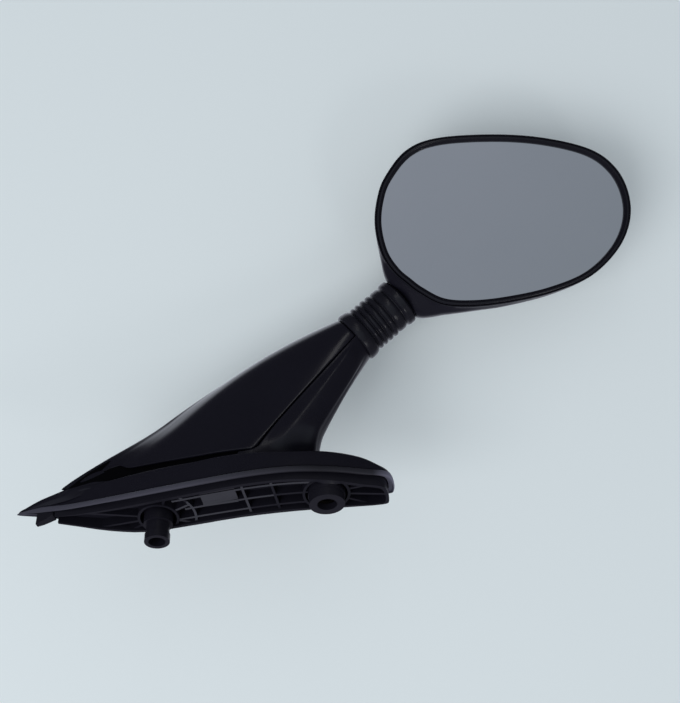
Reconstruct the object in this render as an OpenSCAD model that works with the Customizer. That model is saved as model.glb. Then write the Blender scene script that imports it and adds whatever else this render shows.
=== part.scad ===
// Scooter mirror that bolts to the side of a front fairing by two studs.
// The bottom of the rubber gasket is the XY plane, and the main stud is the Z axis.
// +X runs along the foot to its blunt end, and -Y is the side that the rider sees.

/* [Foot] */
// Length of the foot from its tip to its blunt end
foot_length = 231; // [215:1:250]
// Widest part of the foot, from the rider's side to the far side
foot_width = 37; // [33:0.5:42]
// Height of the rubber gasket
gasket_height = 4; // [3:0.5:5]
// Height of the gasket at the foot's tip
tip_height = 0.8; // [0.6:0.1:1.5]
// Length over which the gasket thins towards the tip
tip_taper = 15; // [10:1:20]
// Width of the gasket's band
gasket_band = 3.6; // [3:0.2:4.2]
// Height of the foot's wall where it is highest
foot_height = 21; // [18:0.5:24]
// Wall of the arm's shell
shell_wall = 2.6; // [2:0.2:3.2]

/* [Mounting frame] */
// Thickness of the ribbed frame's web
web_thickness = 2.4; // [2:0.2:3]
// How far the frame's skirt reaches below the gasket
skirt_depth = 5.5; // [4:0.5:7]
// Thickness of the skirt
skirt_wall = 2; // [1.6:0.2:2.4]
// Thickness of each rib
rib_thickness = 1.5; // [1.2:0.1:2]
// How far the ribs reach below the gasket
rib_depth = 4.2; // [3:0.2:5]

/* [Studs] */
// Outer diameter of the main stud
main_stud_dia = 22; // [19:0.5:23]
// Hole in the main stud
main_stud_hole = 12.2; // [11:0.2:13]
// How far the main stud reaches below the gasket
main_stud_reach = 12.9; // [10:0.1:16]
// Thread bore of the main stud's insert, for an M8 bolt
main_thread_bore = 6.8; // [6.6:0.1:7]
// Outer diameter of the second stud
second_stud_dia = 15.6; // [14:0.2:17]
// Hole in the second stud
second_stud_hole = 10.4; // [9.6:0.2:11]
// How far the second stud reaches below the gasket
second_stud_reach = 22; // [18:0.5:26]
// Thread bore of the second stud's insert, for an M6 bolt
second_thread_bore = 5; // [4.8:0.1:5.2]
// Distance between the two studs
stud_spacing = 106; // [100:0.5:112]
// Length of each threaded insert
insert_length = 12; // [10:0.5:12]

/* [Arm] */
// Height of the arm's top over the gasket, on the neck's axis
neck_height = 107.6; // [100:0.2:115]
// Distance of the neck towards the foot's blunt end
neck_forward = 27.5; // [22:0.5:32]
// Distance of the neck towards the rider
neck_side = 11; // [8:0.5:14]
// Angle of the neck's axis from upright, towards the mirror head
neck_rake = 59; // [55:0.5:62]
// Angle of the neck's axis towards the rider
neck_lean = 12; // [9:0.5:15]
// Outer diameter of the arm at its top
arm_top_dia = 33; // [31:0.5:34]
// Half thickness of the arm near the foot
arm_foot_half = 15.5; // [14:0.5:17]
// Thickness of the glossy cover
cover_thickness = 2.2; // [1.8:0.1:2.6]
// Depth of the seat for the cover in the arm
cover_seat_depth = 2.8; // [2.7:0.1:3.2]

/* [Ball joint] */
// Diameter of the ball
ball_dia = 18; // [17:0.1:18.4]
// Distance of the ball's centre above the arm's top
ball_height = 21; // [20:0.5:22.5]
// Wall of each nylon seat
seat_wall = 1.35; // [1.1:0.05:1.5]
// Diameter of the screw that holds the socket to the head
socket_screw_dia = 6; // [5:0.5:7]
// Diameter of the stud below the ball
ball_shank_dia = 9; // [8:0.5:9.5]
// Outer diameter of the socket
socket_dia = 26; // [25.4:0.1:26.6]

/* [Rubber boot] */
// Length of the boot
boot_length = 40.5; // [39.5:0.5:41]
// Diameter of the boot's bottom collar
boot_collar_dia = 36; // [34.5:0.5:37]
// Diameter over the boot's ribs
boot_rib_dia = 33.4; // [32.4:0.2:34.4]
// Diameter of the boot's wide barrel
boot_barrel_dia = 32.8; // [31.8:0.2:34]

/* [Mirror head] */
// Width of the head
head_width = 170.6; // [160:0.2:182]
// Height of the head
head_height = 114.8; // [108:0.2:124]
// Depth of the head behind its front edge
head_depth = 46; // [43:1:50]
// Wall of the head's housing
housing_wall = 2.4; // [2:0.2:3]
// Width of the bezel
bezel_width = 2.9; // [2.7:0.1:3.4]
// How far the bezel stands proud of the housing's edge
bezel_proud = 1.4; // [0.8:0.1:1.8]
// Thickness of the mirror glass
glass_thickness = 2.2; // [1.8:0.1:2.6]
// Thickness of the adhesive foam pad
pad_thickness = 0.8; // [0.6:0.1:1.2]
// Thickness of the carrier plate behind the glass
carrier_thickness = 2; // [1.6:0.1:2.4]

/* [Hidden] */
$fn = 64;

// Clearances
seat_gap = 0.3;
fit_gap = 0.05;
cut_extra = 1;

// Foot outline as it was drawn, tip first, along the rider's side, round the blunt end and back.
// Each row is x, y, y of the middle line, height of the wall, and angle in the arm's section.
drawn_length = 231;
drawn_width = 37;
drawn_height = 21;
drawn_middle_x = -74.5;
drawn_middle_y = -4;
drawn_half_width = 18.5;
foot_rows = [
    [-191, -18, -18, 2.4, 180],
    [-176, -17.4, -14.5, 7.4, 188],
    [-158, -16.8, -9.3, 13, 200],
    [-130, -18.8, -4, 18, 220],
    [-100, -21.3, -3.7, 19.5, 238],
    [-70, -23.4, -5, 20.5, 255],
    [-42, -24.5, -5.5, 21, 275],
    [-16, -22.6, -4, 18, 300],
    [8, -16, 0.4, 15, 320],
    [27, -7.6, 5, 11.5, 338],
    [37.5, -3.2, 7.2, 8.5, 350],
    [41, 2, 8, 8, 356],
    [41, 15, 8, 8, 4],
    [36, 18.3, 7, 9, 12],
    [12, 17, 1.2, 13, 35],
    [-20, 14.5, -4.2, 17, 65],
    [-55, 13, -5.4, 20, 90],
    [-90, 14, -4, 19.5, 112],
    [-118, 13.6, -3, 18.5, 130],
    [-140, 7, -5.5, 16.5, 148],
    [-160, -3, -9.8, 12, 160],
    [-178, -11.8, -15, 6.8, 172]
];
row_count = len(foot_rows);
foot_half = foot_length / 2;
foot_half_width = drawn_half_width * foot_width / drawn_width;
foot_middle_x = drawn_middle_x * foot_length / drawn_length;

// Neck
neck_top = [neck_forward, -neck_side, neck_height];
neck_turn = [neck_lean, neck_rake, 0];
neck_axis = [cos(neck_lean) * sin(neck_rake), -sin(neck_lean), cos(neck_lean) * cos(neck_rake)];
neck_across = unit([neck_axis[2], 0, -neck_axis[0]]);
neck_depth = cross(neck_axis, neck_across);
arm_top_r = arm_top_dia / 2;
spigot_r = arm_top_r - 2;
spigot_height = 6;
cap_thickness = 7;

// Arm in X and Z: the low end and the bulge of its ridge, and the foot and the bends of its strut
ridge_fall = 8.6;
ridge_bulge_drop = 13.8;
strut_low_rise = 13;
strut_high_drop = 53;
ridge_start = [-162.5 * foot_length / drawn_length, foot_height - ridge_fall];
strut_start = [-6, foot_height];
ridge_end = [neck_top[0] - arm_top_r * neck_across[0], neck_top[2] - arm_top_r * neck_across[2]];
strut_end = [neck_top[0] + arm_top_r * neck_across[0], neck_top[2] + arm_top_r * neck_across[2]];
ridge_bulge = [-80, neck_height - ridge_bulge_drop];
strut_low = [-5, foot_height + strut_low_rise];
strut_high = [14, neck_height - strut_high_drop];
foot_section_y = -5;

// Cover: the seams are places along the foot's rows, and the levels are shares of the arm
cover_back = -1.7;
cover_front_low = 7.27;
cover_front_turn = 0.05;
cover_corner = 0.6;
cover_corner_rise = 0.07;
cover_level = 0.026;
cover_top_level = 0.985;
seat_edge = 0.08;
cover_edge = 0.14;
cover_lift = 0.026;
low_seam_blend = 0.14;
low_seam_tip = 0.008;
low_seam_rise = 0.052;
low_seam_fall = 0.034;
tip_slot = 0.04;
tip_drop = 0.03;

// Ball joint, measured along the neck's axis from the arm's top
ball_r = ball_dia / 2;
seat_inner_r = ball_r + fit_gap;
seat_outer_r = seat_inner_r + seat_wall;
cavity_r = seat_outer_r + seat_gap;
socket_r = socket_dia / 2;
shank_r = ball_shank_dia / 2;
lower_zone = [80, 125];
upper_zone = [15, 65];
socket_mouth_angle = 52;
socket_mouth_r = cavity_r * sin(socket_mouth_angle);
socket_low = ball_height - 8.5;
ring_top = ball_height - 2.5;
cup_low = ball_height + 4;
cup_top = ball_height + 11;
spring_rise = 14;
spring_top = ball_height + spring_rise;
spring_sheet = 0.9;
spring_hole_r = 5;
shoulder_low = spring_top - 0.5;
shoulder_r = spigot_r - 0.1;
chin_start = boot_length + 1;
socket_top = chin_start - seat_gap;
screw_seat = chin_start + housing_wall + 0.6;
screw_head_r = 5;
screw_head_height = 4;
screw_key_r = 2.9;

// Head, in a frame of its own: X across, Y up and Z out of the glass
head_angles = [131.6, 3.7, 9.35];
ball_to_head = [82.6, 66.1, 14.8];
ball_centre = neck_top + ball_height * neck_axis;
lip_depth = 1.9;
carrier_back = lip_depth + glass_thickness + pad_thickness + carrier_thickness;
housing_lip = 0.9;
bezel_inset = housing_lip + seat_gap;
bezel_rebate = 1.6;
glass_inset = bezel_inset + bezel_rebate + seat_gap;
pad_inset = glass_inset + 1.5;

// Head outline as it was drawn, from the side by the neck and round over the top.
// Each row is x and y of the front edge, then x and y of the chin that meets the neck.
drawn_head_width = 172;
drawn_head_height = 116;
head_rows = [
    [-86, -4, -86, -5],
    [-84.5, 14, -84.5, 14],
    [-79, 29, -79, 29],
    [-65, 46.5, -65, 46.5],
    [-44, 54.8, -44, 54.8],
    [-6, 57.2, -6, 57.2],
    [28, 54.8, 28, 54.8],
    [58.5, 47.3, 58.5, 47.3],
    [75.5, 35, 75.5, 35],
    [84.3, 18, 84.3, 18],
    [85.3, -1, 85.3, -1],
    [77.2, -20.3, 77.2, -20.3],
    [59, -38.3, 59.3, -38.8],
    [33, -49.5, 33.5, -50.8],
    [5, -56, 3.5, -58.5],
    [-20, -59, -18, -61.8],
    [-41, -57.8, -38, -64],
    [-56.5, -50, -57, -65],
    [-65.3, -43.3, -67.4, -53],
    [-73.8, -35.7, -78, -40.5],
    [-81.8, -23, -82, -27.5]
];
head_row_count = len(head_rows);
// Each row is depth, size as a share of the front edge, and share of the chin
head_profile = [
    [0, 1, 0],
    [2.5, 1, 0.25],
    [6, 0.995, 0.8],
    [11, 0.985, 1],
    [18, 0.965, 1],
    [25, 0.92, 1],
    [31, 0.85, 0.9],
    [36.5, 0.75, 0.65],
    [41, 0.6, 0.35],
    [44.5, 0.4, 0.1],
    [46, 0.2, 0]
];
drawn_head_depth = 46;

function unit(v) = v / norm(v);
function mix(a, b, share) = a + (b - a) * share;
function ease(share) = let(c = max(0, min(1, share))) c * c * (3 - 2 * c);

// Point on a smooth curve through b and c, where a and d are their neighbours
function smooth_between(a, b, c, d, u) =
    let(u2 = u * u, u3 = u2 * u)
    0.5 * (2 * b + (c - a) * u + (2 * a - 5 * b + 4 * c - d) * u2 + (3 * b - a - 3 * c + d) * u3);

// Point on the closed smooth curve through all rows, at place s
function curve_at(rows, s) =
    let(n = len(rows), w = s - n * floor(s / n), i = floor(w))
    smooth_between(rows[(i + n - 1) % n], rows[i % n], rows[(i + 1) % n], rows[(i + 2) % n], w - i);

// Bezier curves in two dimensions
function bend3(a, b, c, u) = mix(mix(a, b, u), mix(b, c, u), u);
function bend4(a, b, c, d, u) = mix(bend3(a, b, c, u), bend3(b, c, d, u), u);

// The foot's rows at the sizes set above, with the angle turned into a direction
foot_table = [
    for (row = foot_rows) [
        row[0] * foot_length / drawn_length,
        drawn_middle_y + (row[1] - drawn_middle_y) * foot_width / drawn_width,
        drawn_middle_y + (row[2] - drawn_middle_y) * foot_width / drawn_width,
        gasket_height + (row[3] - gasket_height) * foot_height / drawn_height,
        cos(row[4]),
        sin(row[4])
    ]
];

// Top of the gasket, which thins towards the tip
tip_x = foot_table[0][0];
function gasket_top(x) = mix(tip_height, gasket_height, max(0, min(1, (x - tip_x) / tip_taper)));

// Foot outline in plan at place s, drawn in by an inset that narrows towards the tip
function foot_point(s, inset) =
    let(r = curve_at(foot_table, s))
    [r[0] - (r[0] - foot_middle_x) * inset / foot_half, r[2] + (r[1] - r[2]) * (1 - inset / foot_half_width)];

// Section of the arm at a level from 0, the foot, to 1, the neck: a leaf that turns into a circle
function arm_point(level, s, inset) =
    let(
        r = curve_at(foot_table, s),
        left = bend3(ridge_start, ridge_bulge, ridge_end, level),
        right = bend4(strut_start, strut_low, strut_high, strut_end, level),
        half_long = norm(right - left) / 2,
        half_thick = mix(arm_foot_half, arm_top_r, ease(level)) - 1.5 * sin(180 * level),
        round = ease(level / 0.9),
        turn = unit([r[4], r[5]]),
        leaf = [(r[0] - foot_middle_x) / foot_half, (r[1] - r[2]) / foot_half_width],
        flat = mix(leaf, turn, round),
        along = unit([(right - left)[0], 0, (right - left)[1]]),
        over = unit(mix([0, 1, 0], neck_depth, ease(level))),
        lean = (r[2] - drawn_middle_y) * (1 - ease(level / 0.35)),
        side = mix(foot_section_y, -neck_side, ease(level)) + lean,
        centre = [(left + right)[0] / 2, side, (left + right)[1] / 2]
    )
    centre + along * flat[0] * (half_long - inset) + over * flat[1] * (half_thick - inset);

// Wall of the foot: share goes from the outline to the arm's foot, and rise from the gasket to the top
function wall_point(s, share, rise, inset, drop) =
    let(
        r = curve_at(foot_table, s),
        low = foot_point(s, inset),
        high = arm_point(0, s, inset),
        plan = mix(low, [high[0], high[1]], share),
        bottom = gasket_top(plan[0]) + seat_gap,
        top = max(r[3] - drop, bottom + seat_gap)
    )
    [plan[0], plan[1], rise < 1 ? mix(bottom, top, rise) : mix(top, high[2] - drop, pow(share, 3))];

// Front seam of the cover: up the strut, with a round corner at the foot
function cover_front(level) =
    let(u = min(1, max(0, (level - cover_level) / cover_corner_rise)))
    cover_front_low - cover_front_turn * level - cover_corner * (1 - sqrt(1 - (1 - u) * (1 - u)));

// Level of the cover's low seam at place s: it starts low at the tip, rises and falls towards the strut
function seam_level(s) =
    low_seam_tip + low_seam_rise * ease((s - 0.2) / 1.1) - low_seam_fall * ease((s - 2.6) / 4)
    - (low_seam_rise - low_seam_fall) * ease((s - 12) / 6);
// Level of a ring at place s: the rings near the foot follow the low seam
function ring_level(level, s) =
    level < cover_level ? level * seam_level(s) / cover_level
    : level < low_seam_blend
        ? mix(seam_level(s), low_seam_blend, (level - cover_level) / (low_seam_blend - cover_level))
    : level;

// Places round the arm that the cover takes, and those that the frame keeps
cover_steps = 26;
frame_steps = 30;
function cover_places(level, edge) =
    let(a = cover_back + edge, b = cover_front(level) - edge)
    [for (k = [0:cover_steps]) mix(a, b, k / cover_steps)];
function frame_places(level) =
    let(a = cover_front(level), b = cover_back + row_count)
    [for (k = [0:frame_steps]) mix(a, b, k / frame_steps)];

// One ring of the arm's outside, sunk by seat where the cover lies
function arm_ring(level, seat, inset) = concat(
    [for (s = cover_places(level, seat_edge)) arm_point(ring_level(level, s), s, inset + seat)],
    [for (s = frame_places(level)) arm_point(ring_level(level, s), s, inset)]
);
function wall_ring(share, rise, inset, drop) = [
    for (s = concat(cover_places(0, seat_edge), frame_places(0))) wall_point(s, share, rise, inset, drop)
];
// Ring round the neck's axis at a height over the arm's top
function neck_ring(height, radius, level) = [
    for (s = concat(cover_places(level, seat_edge), frame_places(level)))
        let(r = curve_at(foot_table, s), turn = unit([r[4], r[5]]))
        neck_top + neck_axis * height + radius * (turn[0] * neck_across + turn[1] * neck_depth)
];

// Closed solid from a run of rings, capped at both ends
module ring_solid(rings) {
    n = len(rings[0]);
    last = len(rings) - 1;
    points = [for (ring = rings) for (p = ring) p];
    sides = [
        for (k = [0:last - 1], j = [0:n - 1])
            let(a = k * n + j, b = k * n + (j + 1) % n, c = a + n, d = b + n)
            for (face = [[a, c, b], [b, c, d]]) face
    ];
    polyhedron(points, concat(
        [[for (j = [0:n - 1]) j]],
        sides,
        [[for (j = [n - 1:-1:0]) last * n + j]]
    ), convexity = 10);
}

// Solid from an open patch of points and the same patch sunk under it
module patch_solid(top, under) {
    rows = len(top);
    n = len(top[0]);
    loops = [for (k = [0:rows - 1]) concat(top[k], [for (j = [n - 1:-1:0]) under[k][j]])];
    ring_patch(loops, n);
}
module ring_patch(loops, n) {
    m = 2 * n;
    last = len(loops) - 1;
    points = [for (loop = loops) for (p = loop) p];
    sides = [
        for (k = [0:last - 1], j = [0:m - 1])
            let(a = k * m + j, b = k * m + (j + 1) % m, c = a + m, d = b + m)
            for (face = [[a, c, b], [b, c, d]]) face
    ];
    ends = [
        for (j = [0:n - 2])
            for (face = [
                [j, j + 1, m - 2 - j],
                [j, m - 2 - j, m - 1 - j],
                [last * m + j + 1, last * m + j, last * m + m - 2 - j],
                [last * m + m - 2 - j, last * m + j, last * m + m - 1 - j]
            ]) face
    ];
    polyhedron(points, concat(sides, ends), convexity = 10);
}

// Places along the neck's axis, and the head's own frame
module on_neck(height = 0) {
    translate(neck_top) rotate(neck_turn) translate([0, 0, height]) children();
}
module in_head() {
    translate(ball_centre) rotate(head_angles) translate(ball_to_head) children();
}

fin_levels = [
    0.032, 0.045, 0.07, 0.1, 0.14, 0.2, 0.28, 0.37, 0.47, 0.57, 0.67, 0.77, 0.86, 0.94, cover_top_level
];
inner_levels = [0.93, 0.85, 0.7, 0.5, 0.3, 0.15, 0.06];
// Rows of share, rise and inset for the foot's wall: outside from the gasket up, inside from the arm down
wall_outside = [
    [0, 0, 1], [0.02, 0.4, 1], [0.05, 0.75, 1], [0.1, 0.94, 1],
    [0.2, 1, 1], [0.45, 1, 0.8], [0.7, 1, 0.4], [0.88, 1, 0.2]
];
wall_inside = [[0.8, 1, cover_seat_depth], [0.45, 1, 1.2], [0.12, 1, 1], [0.03, 0.6, 1], [0, 0, 1]];

module arm_frame() {
    inner_inset = cover_seat_depth + shell_wall;
    under_cap = spigot_height - cap_thickness;
    color([0.05, 0.05, 0.06])
    difference() {
        ring_solid(concat(
            [neck_ring(under_cap, arm_top_r - inner_inset, 1)],
            [for (level = inner_levels) arm_ring(level, 0, inner_inset)],
            [for (row = wall_inside) wall_ring(row[0], row[1], shell_wall + row[2], shell_wall)],
            [for (row = wall_outside) wall_ring(row[0], row[1], row[2], 0)],
            [arm_ring(0, 0, 0)],
            [arm_ring(cover_level, 0, 0)],
            [for (level = fin_levels) arm_ring(level, cover_seat_depth, 0)],
            [neck_ring(0, spigot_r, 1)],
            [neck_ring(spigot_height, spigot_r, 1)]
        ));
        on_neck(under_cap - cut_extra) cylinder(h = cap_thickness + 2 * cut_extra, r = shank_r + seat_gap);
    }
}

// How much higher than the arm's ring the cover's own ring lies: it leaves a slot near the tip,
// and reaches down at the tip itself
function slot_rise(level, s) =
    (tip_slot * ease(1 - abs(s - 1)) - tip_drop * (1 - ease(s / 0.6))) * max(0, 1 - level / low_seam_blend);
function cover_line(level, inset) = [
    for (s = cover_places(level, cover_edge))
        arm_point(ring_level(level, s) + slot_rise(level, s), s, inset)
];
module arm_cover() {
    lowest = cover_level + cover_lift;
    levels = concat([lowest], [for (level = fin_levels) if (level > lowest) level]);
    color([0.02, 0.02, 0.025])
    patch_solid(
        [for (level = levels) cover_line(level, 0)],
        [for (level = levels) cover_line(level, cover_thickness)]
    );
}

// Plan of the foot, drawn in by an inset
module foot_plan(inset) {
    polygon([for (k = [0:3 * row_count - 1]) foot_point(k / 3, inset)]);
}
module foot_band(inset, width) {
    difference() {
        foot_plan(inset);
        foot_plan(inset + width);
    }
}

// Mounting frame: the tip's edges in X, the rings round the studs, the ribs, the tongue and the pad
second_place = [-stud_spacing, 0];
frame_inset = gasket_band + 2 * seat_gap;
frame_top = gasket_height - 0.4;
frame_tip_x = -178 * foot_length / drawn_length;
skirt_tip_x = -167 * foot_length / drawn_length;
ring_thickness = 1.6;
ring_depth = rib_depth + 0.6;
main_ring_r = main_stud_dia / 2 + 3.7;
second_ring_r = second_stud_dia / 2 + 5.1;
main_root_height = 6;
second_root_height = 12;
second_root_step = 1.2;
second_rim_height = 5;
second_rim_step = 0.6;
cross_rib_x = [-49, -31];
cross_rib_turn = -1;
tip_spokes = [158, 178, 198];
end_spokes = [-24, -4, 14, 32];
arc_spokes = [-62, -20, 25, 70];
arc_rib_r = 24;
rib_overlap = 1;
tongue_depth = 8;
tongue_gap = 1.5;
pad_low = [-76, -17];
pad_size = [22, 11.5];
pad_depth = 3.2;
pad_lip = 1.2;

// Rib that follows the foot's length at a share of its half width
module long_rib(share, from_place, to_place) {
    count = 14;
    line = [
        for (k = [0:count])
            let(r = curve_at(foot_table, mix(from_place, to_place, k / count)))
            [r[0], r[2] + share * (r[1] - r[2])]
    ];
    polygon(concat(
        [for (p = line) p + [0, rib_thickness / 2]],
        [for (k = [count:-1:0]) line[k] - [0, rib_thickness / 2]]
    ));
}
module spoke(centre, angle, from_r, to_r) {
    translate(centre) rotate(angle) translate([from_r, -rib_thickness / 2])
        square([to_r - from_r, rib_thickness]);
}
module rib_plan() {
    intersection() {
        foot_plan(frame_inset + skirt_wall / 2);
        union() {
            long_rib(0.5, 4.2, 7.4);
            long_rib(0, 4.4, 7.4);
            long_rib(-0.48, 4.2, 7.4);
            for (x = cross_rib_x) translate([x, 0]) rotate(cross_rib_turn)
                square([rib_thickness, 2 * foot_width], center = true);
            for (angle = tip_spokes) spoke(second_place, angle, second_ring_r - rib_overlap, foot_length);
            for (angle = end_spokes) spoke([0, 0], angle, main_ring_r - rib_overlap, foot_length);
            for (angle = arc_spokes) spoke(second_place, angle, second_ring_r - rib_overlap, arc_rib_r);
            translate(second_place) difference() {
                circle(r = arc_rib_r);
                circle(r = arc_rib_r - rib_thickness);
                translate([-2 * arc_rib_r, -2 * arc_rib_r]) square([2 * arc_rib_r, 4 * arc_rib_r]);
            }
        }
    }
}
// Stud with a wider root and, at its open end, a rim
module stud_tube(dia, reach, root_dia, root_reach, rim_dia, rim_height) {
    translate([0, 0, -reach]) {
        cylinder(h = reach + frame_top, d = dia);
        cylinder(h = rim_height, d = rim_dia);
    }
    translate([0, 0, -root_reach]) cylinder(h = root_reach + frame_top, d = root_dia);
}
// Ring round a stud, open below
module stud_ring(r) {
    translate([0, 0, -ring_depth]) difference() {
        cylinder(h = ring_depth + frame_top, r = r);
        translate([0, 0, -cut_extra])
            cylinder(h = ring_depth + frame_top - web_thickness + cut_extra, r = r - ring_thickness);
    }
}
// Everything on the blunt side of a place in X
module beyond(x) {
    translate([x, -2 * foot_width]) square([2 * foot_length, 4 * foot_width]);
}
// Raised pad between the ribs, with a lip along its far side that is cut off at 45 degrees
module locating_pad() {
    translate([pad_low[0], pad_low[1], -pad_depth])
        cube([pad_size[0], pad_size[1], pad_depth + frame_top - cut_extra]);
    translate([pad_low[0], pad_low[1] + pad_size[1], -pad_depth])
        rotate([90, 0, 90]) linear_extrude(pad_size[0]) polygon([
            [-pad_lip, 0], [0, -pad_lip], [pad_lip, -pad_lip], [pad_lip, pad_depth], [-pad_lip, pad_depth]
        ]);
}
module mount_frame() {
    tube_height = main_stud_reach + second_stud_reach;
    color([0.09, 0.09, 0.1])
    difference() {
        union() {
            translate([0, 0, frame_top - web_thickness]) linear_extrude(web_thickness) intersection() {
                foot_plan(frame_inset);
                beyond(frame_tip_x);
            }
            translate([0, 0, -skirt_depth]) linear_extrude(skirt_depth + frame_top) intersection() {
                foot_band(frame_inset, skirt_wall);
                beyond(skirt_tip_x);
            }
            translate([0, 0, -tongue_depth]) linear_extrude(tongue_depth + frame_top) intersection() {
                foot_plan(frame_inset);
                beyond(frame_tip_x);
                translate([skirt_tip_x - tongue_gap, 0]) mirror([1, 0]) beyond(0);
            }
            translate([0, 0, -rib_depth])
                linear_extrude(rib_depth + frame_top - web_thickness / 2) rib_plan();
            locating_pad();
            intersection() {
                union() {
                    stud_ring(main_ring_r);
                    translate(second_place) stud_ring(second_ring_r);
                }
                translate([0, 0, -foot_height]) linear_extrude(2 * foot_height)
                    foot_plan(frame_inset + skirt_wall / 2);
            }
            stud_tube(
                main_stud_dia, main_stud_reach,
                main_stud_dia + 1, main_stud_reach - main_root_height,
                main_stud_dia, 1
            );
            translate(second_place) stud_tube(
                second_stud_dia - 2 * second_rim_step, second_stud_reach,
                second_stud_dia + 2 * second_root_step, second_stud_reach - second_root_height,
                second_stud_dia, second_rim_height
            );
        }
        translate([0, 0, -main_stud_reach - cut_extra]) cylinder(h = tube_height, d = main_stud_hole);
        translate([-stud_spacing, 0, -second_stud_reach - cut_extra])
            cylinder(h = tube_height, d = second_stud_hole);
    }
}

module base_gasket() {
    end_x = tip_x + 2 * foot_length;
    color([0.16, 0.16, 0.18]) intersection() {
        linear_extrude(gasket_height) foot_band(0, gasket_band);
        translate([0, foot_width, 0]) rotate([90, 0, 0]) linear_extrude(3 * foot_width) polygon([
            [tip_x - cut_extra, 0],
            [tip_x - cut_extra, tip_height],
            [tip_x, tip_height],
            [tip_x + tip_taper, gasket_height],
            [end_x, gasket_height],
            [end_x, 0]
        ]);
    }
}

// Threaded insert with its bore along Z, from its low end
module insert(outer_dia, bore) {
    difference() {
        cylinder(h = insert_length, d = outer_dia);
        translate([0, 0, -cut_extra]) cylinder(h = insert_length + 2 * cut_extra, d = bore);
    }
}
module main_stud_insert() {
    color([0.75, 0.62, 0.32]) translate([0, 0, frame_top - insert_length])
        insert(main_stud_hole - 2 * fit_gap, main_thread_bore);
}
module second_stud_insert() {
    color([0.75, 0.62, 0.32]) translate([-stud_spacing, 0, frame_top - insert_length])
        insert(second_stud_hole - 2 * fit_gap, second_thread_bore);
}

// Ball stud's flange, washer and nut, with the washer under the arm's cap
flange_height = 3;
flange_r = shank_r + 4.5;
washer_height = 1.8;
washer_r = shank_r + 4;
washer_top = spigot_height - cap_thickness;
nut_height = 8;
nut_r = shank_r + 4.3;
nut_low = washer_top - washer_height - nut_height;
thread_end = 3;
module ball_stud() {
    color([0.6, 0.61, 0.63]) {
        on_neck(ball_height) sphere(r = ball_r);
        on_neck(spigot_height) cylinder(h = flange_height, r = flange_r);
        on_neck(nut_low - thread_end) cylinder(h = ball_height - nut_low + thread_end, r = shank_r);
    }
}
module stud_washer() {
    color([0.7, 0.7, 0.72]) on_neck(washer_top - washer_height) difference() {
        cylinder(h = washer_height, r = washer_r);
        translate([0, 0, -cut_extra]) cylinder(h = washer_height + 2 * cut_extra, r = shank_r + fit_gap);
    }
}
module stud_nut() {
    color([0.7, 0.7, 0.72]) on_neck(nut_low) difference() {
        cylinder(h = nut_height, r = nut_r, $fn = 6);
        translate([0, 0, -cut_extra]) cylinder(h = nut_height + 2 * cut_extra, r = shank_r + fit_gap);
    }
}

// Outside of the boot: rows of height over the arm's top and radius
module neck_boot() {
    collar_r = boot_collar_dia / 2;
    rib_r = boot_rib_dia / 2;
    barrel_r = boot_barrel_dia / 2;
    valley_r = rib_r - 1.4;
    scale = boot_length / 40.5;
    inner_r = socket_r + 1.1;
    outside = [
        [0, collar_r - 0.5], [0.6, collar_r], [7.2, collar_r], [8.2, collar_r - 0.8], [8.8, valley_r],
        [9.6, valley_r], [10.2, rib_r - 0.4], [11.2, rib_r], [12, rib_r - 0.4], [12.6, valley_r],
        [13.4, valley_r], [14, rib_r - 0.4], [15, rib_r], [16, rib_r - 0.4], [16.8, valley_r],
        [17.6, valley_r], [18.2, rib_r - 0.4], [19.4, rib_r], [20.6, rib_r - 0.4], [21.4, valley_r],
        [22.2, valley_r], [22.8, rib_r - 0.4], [24, rib_r], [25.2, rib_r - 0.4], [26, valley_r],
        [26.8, valley_r + 0.3], [27.8, barrel_r - 0.2], [30, barrel_r], [32.6, barrel_r - 0.3],
        [33.6, valley_r],
        [34.4, valley_r], [35.2, rib_r - 0.2], [36.4, rib_r + 0.3], [39.6, rib_r + 0.3], [40.5, rib_r - 0.4]
    ];
    inside = [
        [40.5, shoulder_r + seat_gap], [33.5, shoulder_r + seat_gap], [33, inner_r],
        [spigot_height + 1.6, inner_r], [spigot_height + 0.6, spigot_r + seat_gap], [0, spigot_r + seat_gap]
    ];
    color([0.1, 0.1, 0.1]) on_neck() rotate_extrude()
        polygon([for (p = concat(outside, inside)) [p[1], p[0] * scale]]);
}

// Spherical zone round the ball, between two angles from the neck's axis
module ball_zone(inner_r, outer_r, zone) {
    far = outer_r * 3;
    difference() {
        intersection() {
            sphere(r = outer_r);
            rotate_extrude() polygon([
                [0, 0],
                for (angle = [zone[0], (zone[0] + zone[1]) / 2, zone[1]]) far * [sin(angle), cos(angle)]
            ]);
        }
        sphere(r = inner_r);
    }
}
module ball_seat_lower() {
    color([0.85, 0.85, 0.8]) on_neck(ball_height) ball_zone(seat_inner_r, seat_outer_r, lower_zone);
}
module ball_seat_upper() {
    color([0.85, 0.85, 0.8]) on_neck(ball_height) ball_zone(seat_inner_r, seat_outer_r, upper_zone);
}

module ball_socket() {
    color([0.3, 0.31, 0.33]) on_neck() difference() {
        union() {
            translate([0, 0, socket_low]) cylinder(h = shoulder_low + cut_extra - socket_low, r = socket_r);
            translate([0, 0, shoulder_low]) cylinder(h = socket_top - shoulder_low, r = shoulder_r);
        }
        translate([0, 0, socket_low - cut_extra])
            cylinder(h = spring_top - socket_low + cut_extra, r = cavity_r);
        translate([0, 0, spring_top - cut_extra])
            cylinder(h = boot_length, d = socket_screw_dia + 2 * fit_gap);
    }
}
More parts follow.
